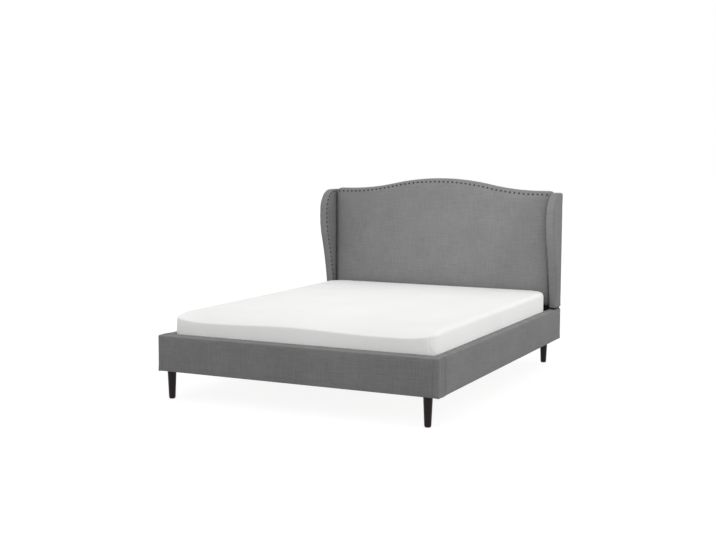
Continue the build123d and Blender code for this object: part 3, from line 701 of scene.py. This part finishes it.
class BED_OT_prepare(BedOperator):
    """Make the materials and the row trees that the pieces share"""

    bl_idname = "bed.prepare"
    bl_label = "Materials and rows"

    def execute(self, context):
        tones = context.scene.bed_colours
        row_tree("Nail row", follow=False)
        row_tree("Stitch row", follow=True)
        # Spun polyester and its thread are matt, and scatter the light evenly
        woven_fabric(FABRIC, tones.fabric, tones.fabric_shade)
        plain_cloth("Sewing thread", tones.thread, tones.fabric_shade, thread=0.6, bump=0.2, sheen=0.1)
        # Percale is close and smooth, and its 0.2 mm threads are drawn 1.5 mm wide so that they show
        plain_cloth("Cotton percale sheet", tones.sheet, linear("#f0f0ef"), thread=1.5, bump=0.12, sheen=0.05)
        # Ticking is a loose knit, and felt swallows the light
        plain_cloth("Knitted ticking", tones.ticking, linear("#dcdad2"), thread=3, bump=0.4, sheen=0.1)
        plain_cloth(LINING, tones.lining, linear("#19191b"), thread=2, bump=0.5, sheen=0.2)
        # Antiqued nail heads gleam dully where they are worn, and zinc plate is pale and cool
        metal(NAIL_STEEL, tones.nails, linear("#2c2a29"), roughness=0.38)
        metal(ZINC, linear("#b9bdc1"), linear("#9b9fa4"), roughness=0.34)
        # Powder coat and moulded caps have a fine grit and a soft gloss, hardboard is dull and brown
        steel, plastic, board = ("#1d1d1f", "#171718"), ("#1b1b1c", "#151516"), ("#7b5f45", "#654d38")
        coated("Powder-coated steel", *map(linear, steel), grain=1.2, roughness=0.5, bump=0.3)
        coated("Moulded polypropylene", *map(linear, plastic), grain=0.8, roughness=0.42, bump=0.15)
        coated("Hardboard", *map(linear, board), grain=2.5, roughness=0.7, bump=0.2)
        # Planed pine is pale with a long grain. The pine seen only through the dark gaps at the head is
        # coloured near black as painted shade
        pine = (linear("#d9bb8b"), linear("#bd9762"))
        timber("Planed pine along", *pine, (33.33, 833.3, 33.33), roughness=0.6)
        timber("Planed pine across", *pine, (833.3, 33.33, 33.33), roughness=0.6)
        timber("Planed pine upright", *pine, (33.33, 33.33, 833.3), roughness=0.6)
        gap_shade_tones = (linear("#242221"), linear("#161514"))
        timber("Pine blackened for shade", *gap_shade_tones, (33.33, 33.33, 833.3), roughness=0.6)
        # Birch slats are sanded smooth, and lacquer gives the legs a narrow gleam
        birch = (linear("#e2c79d"), linear("#c9a672"))
        timber("Laminated birch slat", *birch, (625, 18.18, 11.11), roughness=0.42)
        beech = (tones.legs, linear("#120b0b"))
        timber("Dark lacquered beech", *beech, (14.29, 14.29, 250), roughness=0.33, specular=0.2)
        return {"FINISHED"}


class BED_OT_frame_finishes(BedOperator):
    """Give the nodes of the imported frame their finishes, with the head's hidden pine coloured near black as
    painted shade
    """

    bl_idname = "bed.frame_finishes"
    bl_label = "Frame finishes"

    finishes = {
        "Planed pine along": "side_rail_beam slat_ledge centre_beam foot_rail_end_blocks",
        "Planed pine across": "foot_rail_front_board foot_rail_rear_board foot_rail_bottom_batten "
        "foot_rail_top_batten headboard_top_rail headboard_middle_rail headboard_bottom_rail",
        "Planed pine upright": "wing_core",
        # The head posts, cross rail and corner blocks show only through the shadowed gaps at the head, so
        # their near-black colour is painted shade
        "Pine blackened for shade": "headboard_post head_cross_rail rear_corner_block",
        "Laminated birch slat": "slats",
        "Dark lacquered beech": "leg_front leg_rear",
        "Hardboard": "headboard_facing",
        "Moulded polypropylene": "slat_caps centre_caps leg_glides levelling_feet",
        "Powder-coated steel": "corner_brackets beam_hangers centre_legs",
        ZINC: "frame_bolts long_screws ledge_screws hanger_screws leg_inserts leg_studs",
        FABRIC: "headboard_cover headboard_foam wing_cover wing_padding side_rail_cover foot_rail_cover",
        LINING: "headboard_back_cloth",
        NAIL_STEEL: "headboard_nails wing_nails",
        "Knitted ticking": "mattress",
        "Cotton percale sheet": "fitted_sheet",
    }

    def execute(self, context):
        left = set(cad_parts)
        for name, stems in self.finishes.items():
            for stem in stems.split():
                for node in sorted(left):
                    if node in (stem, stem + "_left", stem + "_right"):
                        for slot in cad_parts[node].material_slots:
                            slot.link = "OBJECT"
                            slot.material = finish(name)
                        left.discard(node)
        if left:
            raise RuntimeError(f"these nodes have no finish: {sorted(left)}")
        return {"FINISHED"}


class BED_OT_rails(BedOperator):
    """Cover the foot rail and the two side rails"""

    bl_idname = "bed.rails"
    bl_label = "Rail covers"

    def execute(self, context):
        sizes = context.scene.bed_frame
        spare = 1 * MM
        quad = 12 * MM
        low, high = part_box("foot_rail_cover")
        seam_x = high.x - sizes.rail_seam_inset
        seam_y = low.y + sizes.rail_end_seam
        start = low + Vector((spare, spare, -sizes.rail_hem))
        end = high - Vector((spare, 0, spare))
        across = ((-seam_x, seam_x), (seam_y,))
        foot = rounded_block("foot_rail_fabric", start, end, sizes.rail_round, quad, across)
        swell(foot, sizes.pad_swell, lambda p: ramp(high.y - 20 * MM - p[:, 1], 30 * MM))
        refine(foot)
        top_run = 60 * MM
        seams = []
        for x in (-seam_x, seam_x):
            seams.append(stretch((x, low.y, low.z), (x, low.y, high.z), 60))
            seams.append(stretch((x, low.y, high.z), (x, low.y + top_run, high.z), 20))
        for x in (-high.x, high.x):
            seams.append(stretch((x, seam_y, low.z), (x, seam_y, high.z), 60))
        press_along(foot, sum(seams, []), depth=2.6 * MM, width=2.4 * MM)
        dress(foot, FABRIC, ["foot_rail_cover"])

        low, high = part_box("side_rail_cover_right")
        start = low + Vector((0, spare / 2, -sizes.rail_hem))
        end = high - Vector((spare, spare, spare))
        right = rounded_block("side_rail_fabric_right", start, end, sizes.rail_round, quad)
        swell(right, sizes.pad_swell, lambda p: ramp(p[:, 0] - low.x - 10 * MM, 20 * MM))
        refine(right)
        for side, piece in (("right", right), ("left", mirrored(right))):
            cover = f"side_rail_cover_{side}"
            dress(piece, FABRIC, [cover])

        # A row of stitches on each side of the foot rail's upright seams
        rows = []
        for seam in (seams[0], seams[2]):
            for aside in (-4 * MM, 4 * MM):
                beside = [p + Vector((aside, 0, 0)) for p in seam[3:-3]]
                rows.append(snapped(beside, (0, 1, 0), foot))
        stitch_row("foot_rail_stitches", rows)
        return {"FINISHED"}


class BED_OT_headboard(BedOperator):
    """Cover the camel-back headboard and set its nail row"""

    bl_idname = "bed.headboard"
    bl_label = "Headboard"

    def execute(self, context):
        sizes = context.scene.bed_frame
        trim = context.scene.bed_trim
        low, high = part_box("headboard_cover")
        spare = 1.5 * MM
        overlap = 3 * MM
        half = high.x - spare
        peak = high.z - spare
        shoulder = peak - sizes.crown_drop
        corner = sizes.shoulder_round
        corner_steps = 8
        right = [p for p in crown_line(peak, half) if p[0] < half - corner - 1 * MM]
        for number in range(corner_steps + 1):
            angle = pi / 2 * (1 - number / corner_steps)
            right.append((half - corner + corner * cos(angle), shoulder - corner + corner * sin(angle)))
        outline = both_halves(right) + [(half, low.z - overlap), (-half, low.z - overlap)]
        depths = (low.y + spare, high.y + overlap)
        rounds = (sizes.headboard_round, 0)
        board = prism("headboard_fabric", outline, lambda x, z, y: (x, y, z), depths, rounds)
        remesh(board, 10 * MM)
        # The padding rolls back towards the wings at each side
        roll_width = 40 * MM
        points = read_points(board)
        aside = ramp(abs(points[:, 0]) - half + roll_width, roll_width)
        forward = ramp(high.y - points[:, 1], high.y - low.y)
        points[:, 1] += sizes.side_roll * aside**2 * forward
        write_points(board, points)
        swell(board, 2 * sizes.pad_swell, lambda p: ramp(high.y - 30 * MM - p[:, 1], 30 * MM))
        refine(board)
        # Its back and its lower edge are pulled flat over the timber
        pull = 0.3 * MM
        points = read_points(board)
        points[:, 1] = np.minimum(points[:, 1], high.y - pull)
        points[:, 2] = np.maximum(points[:, 2], low.z - pull)
        write_points(board, points)
        reach = high.x - 22 * MM
        path = [Vector((x, low.y, z)) for x, z in both_halves(crown_line(high.z - trim.nail_margin, reach))]
        half_row = trim.nail_pitch * int(reach / trim.nail_pitch)
        middle = path_length(path) / 2
        path = path_points(trimmed(path, middle - half_row, middle + half_row), 4 * MM)
        press_along(board, path, depth=1.8 * MM, width=7 * MM)
        dress(board, FABRIC, ["headboard_cover", "headboard_foam"])
        laid = snapped(path, (0, 1, 0), board)
        nail_row("headboard_nail_heads", laid, (pi / 2, 0, 0), "headboard_nails")
        return {"FINISHED"}


class BED_OT_wings(BedOperator):
    """Cover the two wings, with their nail rows, front seams and bottom welts"""

    bl_idname = "bed.wings"
    bl_label = "Wings"

    def execute(self, context):
        sizes = context.scene.bed_frame
        trim = context.scene.bed_trim
        low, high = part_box("wing_cover_right")
        outer = high.x + sizes.wing_spare
        hem = low.z - 4 * MM
        front = wing_front()
        outline = [(front[0].x, hem)] + [tuple(p) for p in front] + [(high.y, high.z), (high.y, hem)]
        square = 1 * MM

        def keep_sharp(edge):
            at_back = all(v.co.y > high.y - square for v in edge.verts)
            return at_back or all(v.co.z < low.z + square for v in edge.verts)

        rounds = (sizes.wing_round, sizes.wing_round)
        depths = (low.x, outer)
        right = prism("wing_fabric_right", outline, lambda y, z, x: (x, y, z), depths, rounds, keep_sharp)
        remesh(right, 6 * MM)

        def freedom(p):
            in_front = ramp(high.y - p[:, 1] - 80 * MM, 40 * MM)
            outside = ramp(p[:, 0] - low.x, 20 * MM)
            return np.maximum(in_front, outside) * ramp(p[:, 2] - low.z, 20 * MM)

        swell(right, sizes.pad_swell, freedom)
        refine(right)
        nail_line = [Vector((low.x, p.x, p.y)) for p in wing_front(trim.wing_nail_margin)]
        seam_line = [Vector((outer, p.x, p.y)) for p in wing_front(sizes.wing_round + 3 * MM)]
        nail_line = path_points(nail_line, 4 * MM)
        seam_line = path_points(seam_line, 4 * MM)
        press_along(right, nail_line, depth=1.5 * MM, width=6 * MM)
        press_along(right, seam_line, depth=1.5 * MM, width=4 * MM)
        rights = [right, self.welt(low, outer, high.y, hem), self.shade_pad(low, high)]
        lefts = [mirrored(piece) for piece in rights]
        for side, sign, (cover, welt, pad) in (("right", 1, rights), ("left", -1, lefts)):
            slot = f"wing_cover_{side}"
            dress(cover, FABRIC, [slot, f"wing_padding_{side}"])
            dress(welt, FABRIC)
            # The felt pads take the near-black lining, as painted shade in the gap under each wing
            dress(pad, LINING)
            flip = Vector((sign, 1, 1))
            laid = snapped([p * flip for p in nail_line], (sign, 0, 0), cover)
            laid = trimmed(laid, trim.nail_pitch / 2, path_length(laid))
            nail_row(f"wing_nail_heads_{side}", laid, (0, -sign * pi / 2, 0), f"wing_nails_{side}")
            stitches = snapped([p * flip for p in seam_line[2:]], (-sign, 0, 0), cover)
            stitch_row(f"wing_stitches_{side}", [stitches])
        return {"FINISHED"}

    def shade_pad(self, low, high):
        """The felt pad that the right wing stands on, let in from its sides; its near-black lining is painted
        shade for the gap under the wing.
        """
        rail_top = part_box("side_rail_cover_right")[1].z
        inset = 5 * MM
        front = high.y - bpy.context.scene.bed_frame.wing_foot_depth
        start = (low.x + inset, front + inset, rail_top - 1 * MM)
        end = (high.x - inset, high.y - inset, low.z)
        return rounded_block("wing_felt_pad_right", start, end, radius=2 * MM, step=10 * MM)

    def welt(self, low, outer, back, hem):
        """A piped welt along the outer bottom edge of the right wing."""
        trim = bpy.context.scene.bed_trim
        radius = trim.welt_diameter / 2
        x = outer - radius
        z = hem + radius
        front = back - bpy.context.scene.bed_frame.wing_foot_depth + radius
        path = [Vector((x, back - radius - 2 * MM, z)), Vector((x, front + 10 * MM, z))]
        path += [Vector((x - 4 * MM, front, z)), Vector((low.x + 12 * MM, front - 1 * MM, z))]
        return tube("wing_welt_right", path, radius)


class BED_OT_mattress(BedOperator):
    """Make the mattress and the fitted sheet over it"""

    bl_idname = "bed.mattress"
    bl_label = "Mattress and sheet"

    def form(self, name, low, high, step, close):
        """The mattress's form: round corners, soft upper edges and a crisp, sagging one at its foot."""
        sizes = bpy.context.scene.bed_bedding
        middle = (low + high) / 2
        half = (high - low) / 2
        top = high.z - sizes.mattress_crown
        bracket_height = 50 * MM
        blend_height = 50 * MM
        lower_edge = 14 * MM
        edge_zone = 30 * MM
        top_zone = 60 * MM
        foot_zone = 130 * MM
        xs = places_between(low.x, high.x, step, close)
        ys = places_between(low.y, high.y, step, close)
        zs = places_between(low.z, top, step, [place for place in close if place <= edge_zone])
        piece = box_grid(name, xs, ys, zs)
        points = read_points(piece)
        x, y, z = points[:, 0] - middle.x, points[:, 1] - middle.y, points[:, 2]
        inset = np.minimum(half.x - abs(x), half.y - abs(y))
        from_foot = y + half.y
        # Wide corners below the rails' top, where the brackets are, and tighter ones above it at the foot
        share = ramp(z - low.z - bracket_height, blend_height)
        upper_corner = np.where(x > 0, sizes.mattress_right_corner, sizes.mattress_corner)
        corner = sizes.mattress_foot_corner + (upper_corner - sizes.mattress_foot_corner) * share
        corner = np.where(y > 0, sizes.mattress_head_corner, corner)
        core_x = np.clip(x, corner - half.x, half.x - corner)
        core_y = np.clip(y, corner - half.y, half.y - corner)
        out = np.stack([x - core_x, y - core_y], axis=1)
        square = np.max(abs(out), axis=1)
        reach = np.maximum(np.linalg.norm(out, axis=1), TINY)
        x = core_x + out[:, 0] * square / reach
        y = core_y + out[:, 1] * square / reach
        heading = out / reach[:, None]
        # Both edges are rounded in section: a is the way in from the wall, b the way from the top or bottom
        towards_foot = np.clip(-heading[:, 1], 0, 1) ** 2 * (from_foot < half.y)
        upper = sizes.mattress_edge + (sizes.mattress_crest - sizes.mattress_edge) * towards_foot
        for radius, level, sign in ((upper, top, 1), (lower_edge, low.z, -1)):
            a = np.clip(radius - inset, 0, None)
            b = np.clip(radius - sign * (level - z), 0, None)
            long = np.maximum(np.hypot(a, b), TINY)
            scale = np.where((a > 0) & (b > 0), np.maximum(a, b) / long, 1)
            x -= heading[:, 0] * a * (1 - scale)
            y -= heading[:, 1] * a * (1 - scale)
            z = z - sign * b * (1 - scale)
        rise = ramp(inset, 0.75 * half.x)
        on_top = ramp(z - top + top_zone, top_zone)
        z = z + on_top * sizes.mattress_crown * (1 - (1 - rise) ** 2)
        z = z + on_top * sizes.mattress_climb * ramp(y + half.y, 2 * half.y) ** 2
        # The crest at the foot sags between its corners and its middle, and the top rolls down to it
        ease = (1 - ramp(y + half.y, foot_zone)) ** 2
        wave_shift = 50 * MM
        wave_pitch = 1050 * MM
        corner_start = 660 * MM
        wave = 0.18 * np.cos(tau * (x + wave_shift) / wave_pitch)
        fall = 9 * np.clip(abs(x) - corner_start, 0, None) ** 1.5
        z = z - on_top * sizes.mattress_drop * ease * (1 - wave - fall)
        write_points(piece, np.stack([x + middle.x, y + middle.y, z], axis=1))
        return piece

    def execute(self, context):
        low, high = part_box("mattress")
        close = [edge * MM for edge in (0, 3, 6, 10, 15, 20, 26, 32, 40, 50, 62, 76, 92, 110, 130)]
        body = self.form("mattress_pad", low, high, step=25 * MM, close=close)
        swell(body, 4 * MM, lambda p: 0.5 * ramp(p[:, 2] - low.z - 20 * MM, 50 * MM), frames=12)
        sheet = self.sheet(body, low, high)
        refine(body)
        dress(body, "Knitted ticking", ["mattress"], body="mattress")
        dress(sheet, "Cotton percale sheet", ["fitted_sheet"], body="mattress")
        return {"FINISHED"}

    def sheet(self, body, low, high):
        """The sheet over the mattress's top and sides, with a border underneath, let settle with Cloth."""
        sizes = bpy.context.scene.bed_bedding
        lift = Vector((1, 1, 1)) * (sizes.sheet_thickness + 0.8 * MM)
        close = [edge * MM for edge in (0, 3, *range(6, 51, 4), 55, 62, 70, 80, 92, 106)]
        piece = self.form("fitted_sheet_cotton", low - lift, high + lift, step=18 * MM, close=close)
        shape = bmesh.new()
        shape.from_mesh(piece.data)
        shape.normal_update()
        facing_down = -0.6
        under = []
        for face in shape.faces:
            c = face.calc_center_median()
            inside = min(high.x - abs(c.x), high.y - c.y, c.y - low.y)
            if face.normal.z < facing_down and inside > sizes.sheet_tuck:
                under.append(face)
        bmesh.ops.delete(shape, geom=under, context="FACES")
        shape.to_mesh(piece.data)
        shape.free()
        points = read_points(piece)
        push = np.array([self.slack(point, low, high) for point in points])
        write_points(piece, points + read_points(piece, "normal") * push[:, None])
        self.settle(piece, body, low, high)
        wall = piece.modifiers.new("Cloth", "SOLIDIFY")
        wall.thickness = sizes.sheet_thickness
        wall.offset = 1
        return bake(piece)

    def slack(self, point, low, high):
        """How far the sheet stands off at a point: gathers round each corner and long shallow waves."""
        x, y, z = point
        across = high.x - abs(x)
        along = (high.y - low.y) / 2 - abs(y - (low.y + high.y) / 2)
        share = (z - low.z) / (high.z - low.z)
        # Fine upright gathers round each corner, gone at the crest, with broader ones further along
        fine_reach, broad_reach = 70 * MM, 200 * MM
        fine_pitch, broad_pitch = 19 * MM, 85 * MM
        fine_height, broad_height = (0.7 if x < 0 else 0.2), 1.6
        apart = max(across, 0) ** 2 + max(along, 0) ** 2
        near = exp(-apart / fine_reach**2)
        wide = exp(-apart / broad_reach**2)
        run = (along - across) * 0.8 + 4 * MM * noise.noise(Vector((x * 9, y * 9, z * 6)))
        below = ramp(0.93 - share, 0.2)
        gathers = near * fine_height * sin(run * tau / fine_pitch)
        gathers += wide * broad_height * sin(run * tau / broad_pitch + 1)
        # The sheet's slack: long shallow waves along the sides and faint ones on top
        wave = noise.noise(Vector((x * 3.1, y * 3.1, z * 5)))
        fine = noise.noise(Vector((x * 9, y * 9, z * 4 + 4)))
        side = ramp(1.02 - share, 1 / 3)
        return (below * gathers + (wave * 1.6 + fine * 0.6) * (0.3 + side)) * MM

    def settle(self, piece, body, low, high):
        """A short Cloth run: the skirt has spare width, elastic holds the hem, and the mattress stops it."""
        sizes = bpy.context.scene.bed_bedding
        skirt = piece.vertex_groups.new(name="skirt")
        hem = piece.vertex_groups.new(name="hem")
        points = read_points(piece)
        hem_height = 20 * MM
        for number, z in enumerate(points[:, 2]):
            if z < low.z + hem_height:
                hem.add([number], 1, "REPLACE")
            skirt.add([number], ramp(high.z - 20 * MM - z, 60 * MM), "REPLACE")
        stop = body.modifiers.new("Stop", "COLLISION")
        body.collision.thickness_outer = 0.5 * MM
        body.collision.cloth_friction = 20
        cloth = piece.modifiers.new("Settle", "CLOTH")
        cloth.settings.quality = 6
        cloth.settings.mass = 0.15
        cloth.settings.tension_stiffness = 20
        cloth.settings.compression_stiffness = 10
        cloth.settings.bending_stiffness = 0.6
        cloth.settings.vertex_group_mass = "hem"
        cloth.settings.vertex_group_shrink = "skirt"
        cloth.settings.shrink_min = 0.0
        cloth.settings.shrink_max = -sizes.sheet_ease
        cloth.collision_settings.use_collision = True
        cloth.collision_settings.distance_min = 1.0 * MM
        run_cloth(piece, cloth, frames=16)
        body.modifiers.remove(stop)
        hold_back(piece, points, limit=8 * MM)


class BED_OT_back(BedOperator):
    """Stretch the lining over the headboard's back and staple it"""

    bl_idname = "bed.back"
    bl_label = "Back lining"

    def execute(self, context):
        low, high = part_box("headboard_back_cloth")
        columns = 120
        rows = 60
        stand_off = 0.5 * MM
        inset = 12 * MM
        half = high.x
        crown = both_halves(crown_line(high.z, half))
        xs, zs = zip(*crown)
        points = []
        for column in range(columns + 1):
            x = -half + 2 * half * column / columns
            top = float(np.interp(x, xs, zs))
            for line in range(rows + 1):
                z = low.z + (top - low.z) * line / rows
                edge = min(half - abs(x), z - low.z, top - z)
                slack = 0.5 * MM * noise.noise(Vector((x * 4, z * 4, 1.5))) * ramp(edge, 50 * MM)
                hem = 0.5 * MM * exp(-(((edge - inset) / (6 * MM)) ** 2))
                points.append((x, high.y + stand_off + slack + hem, z))
        faces = []
        stride = rows + 1
        for column in range(columns):
            for here in range(column * stride, column * stride + rows):
                faces.append((here, here + 1, here + stride + 1, here + stride))
        cloth = mesh_piece("headboard_back_lining", points, faces)
        wall = cloth.modifiers.new("Cloth", "SOLIDIFY")
        wall.thickness = 1.2 * MM
        wall.offset = 0
        bake(cloth)
        dress(cloth, LINING, ["headboard_back_cloth"])
        rim = [(x * (half - inset) / half, z - inset) for x, z in crown]
        rim += [(half - inset, low.z + inset), (-half + inset, low.z + inset), rim[0]]
        path = path_points([Vector((x, high.y + 1.4 * MM, z)) for x, z in rim], 4 * MM)
        pitch = context.scene.bed_trim.staple_pitch
        staple = {"Spacing": pitch, "Length": 11 * MM, "Width": 1.2 * MM, "Height": 1.2 * MM}
        run_row("Stitch row", "back_lining_staples", [path], ZINC, staple)
        return {"FINISHED"}


class BED_OT_stage(BedOperator):
    """Set the camera, the floor, the lamps and the white surround"""

    bl_idname = "bed.stage"
    bl_label = "Stage"

    def execute(self, context):
        scene = context.scene
        scene.view_settings.view_transform = "Standard"
        self.camera(scene)
        self.floor()
        self.world(scene)
        self.lamp("Side lamp", (5.5, -1.0, 1.6), (0.8, 0, 0.4), size=2.5, watts=8, spread=70)
        self.lamp("Headboard lamp", (0, -1.7, 1.9), (0, 1.1, 1.05), size=1.4, watts=3.1, spread=60)
        self.lamp("Wing lamp", (1.7, -1.2, 1.6), (0.6, 1.1, 1.2), size=0.8, watts=1.3, spread=46)
        return {"FINISHED"}

    def camera(self, scene):
        """The photograph's viewpoint, lens and slight tilt."""
        lens_pixels = 1154.69
        frame_pixels = 716
        eye = (2.976, -6.441, 1.382)
        yaw, pitch, roll = 0.44902, 0.09918, 0.00366
        ahead = Vector((-sin(yaw) * cos(pitch), cos(yaw) * cos(pitch), -sin(pitch)))
        level = Vector((cos(yaw), sin(yaw), 0))
        upright = level.cross(ahead)
        right = cos(roll) * level + sin(roll) * upright
        up = cos(roll) * upright - sin(roll) * level
        lens = bpy.data.cameras.new("Camera")
        lens.sensor_fit = "HORIZONTAL"
        lens.sensor_width = 36
        lens.lens = lens_pixels / frame_pixels * lens.sensor_width
        lens.clip_end = 200
        camera = add_object("Camera", lens)
        turn = Matrix((right, up, -ahead)).transposed().to_4x4()
        camera.matrix_world = Matrix.Translation(eye) @ turn
        scene.camera = camera

    def seen_by(self, tree, rays):
        """1 for any of these rays and 0 for the rest."""
        kinds = add_node(tree, "ShaderNodeLightPath").outputs
        seen = kinds[rays[0]]
        for ray in rays[1:]:
            seen = add_node(tree, "ShaderNodeMath", {0: seen, 1: kinds[ray]}, operation="MAXIMUM").outputs[0]
        return seen

    def floor(self):
        """A pale floor, nearly white to the eye, that takes and throws light as grey paint does."""
        reach = 30
        corners = [(-reach, -reach, 0), (reach, -reach, 0), (reach, reach, 0), (-reach, reach, 0)]
        ground = mesh_piece("Floor", corners, [(0, 1, 2, 3)])
        tree, place = start_material("Pale painted floor")
        grain = stretched_noise(tree, place, 333.3, 3.0)
        paint = blend_colours(tree, grain, 0.3, 0.7, linear("#b6b6b6"), linear("#bababa"))
        real = add_node(tree, "ShaderNodeBsdfDiffuse", {"Color": paint})
        seen = add_node(tree, "ShaderNodeBsdfDiffuse", {"Color": linear("#6f6f6f")})
        glow = add_node(tree, "ShaderNodeEmission", {"Color": linear("#ffffff"), "Strength": 0.9})
        shown = add_node(tree, "ShaderNodeAddShader", {0: seen.outputs[0], 1: glow.outputs[0]})
        sharp = self.seen_by(tree, ("Is Camera Ray", "Is Glossy Ray"))
        mixed = add_node(tree, "ShaderNodeMixShader", {0: sharp, 1: real.outputs[0], 2: shown.outputs[0]})
        add_node(tree, "ShaderNodeOutputMaterial", {"Surface": mixed.outputs[0]})
        ground.data.materials.append(finish("Pale painted floor"))

    def world(self, scene):
        """Even white light all round, a little brighter to the eye than on the bed."""
        world = bpy.data.worlds.new("Studio")
        world.use_nodes = True
        tree = world.node_tree
        tree.nodes.clear()
        light = linear("#ffffff")
        soft = add_node(tree, "ShaderNodeBackground", {"Color": light, "Strength": 0.97})
        white = add_node(tree, "ShaderNodeBackground", {"Color": light, "Strength": 1.0})
        sharp = self.seen_by(tree, ("Is Camera Ray", "Is Glossy Ray", "Is Transmission Ray"))
        mixed = add_node(tree, "ShaderNodeMixShader", {0: sharp, 1: soft.outputs[0], 2: white.outputs[0]})
        add_node(tree, "ShaderNodeOutputWorld", {"Surface": mixed.outputs[0]})
        scene.world = world

    def lamp(self, name, place, target, size, watts, spread):
        """A round soft box that the camera doesn't see, with its spread in degrees."""
        light = bpy.data.lights.new(name, "AREA")
        light.shape = "DISK"
        light.size = size
        light.energy = watts
        light.spread = radians(spread)
        lamp = add_object(name, light)
        lamp.location = place
        lamp.visible_camera = False
        aim = Vector(target) - Vector(place)
        lamp.rotation_euler = aim.to_track_quat("-Z", "Y").to_euler()


class BED_PT_panel(bpy.types.Panel):
    """The bed's sizes, colours and pieces"""

    bl_idname = "BED_PT_panel"
    bl_label = "Upholstered bed"
    bl_space_type = "VIEW_3D"
    bl_region_type = "UI"
    bl_category = "Bed"

    def draw(self, context):
        for name in GROUPS:
            group = getattr(context.scene, name)
            column = self.layout.column()
            for size in group.__annotations__:
                column.prop(group, size)
        for operator in OPERATORS:
            self.layout.operator(operator.bl_idname)


OPERATORS = (
    BED_OT_stage,
    BED_OT_prepare,
    BED_OT_frame_finishes,
    BED_OT_rails,
    BED_OT_headboard,
    BED_OT_wings,
    BED_OT_back,
    BED_OT_mattress,
)
GROUPS = {
    "bed_frame": BedFrameSizes,
    "bed_trim": BedTrimSizes,
    "bed_bedding": BedBeddingSizes,
    "bed_colours": BedColours,
}
CLASSES = (*GROUPS.values(), *OPERATORS, BED_PT_panel)


def register():
    for kind in CLASSES:
        bpy.utils.register_class(kind)
    for name, group in GROUPS.items():
        setattr(bpy.types.Scene, name, bpy.props.PointerProperty(type=group))


def unregister():
    for name in GROUPS:
        delattr(bpy.types.Scene, name)
    for kind in reversed(CLASSES):
        bpy.utils.unregister_class(kind)


def main():
    register()
    for operator in OPERATORS:
        family, name = operator.bl_idname.split(".")
        getattr(getattr(bpy.ops, family), name)()


if __name__ == "__main__":
    main()
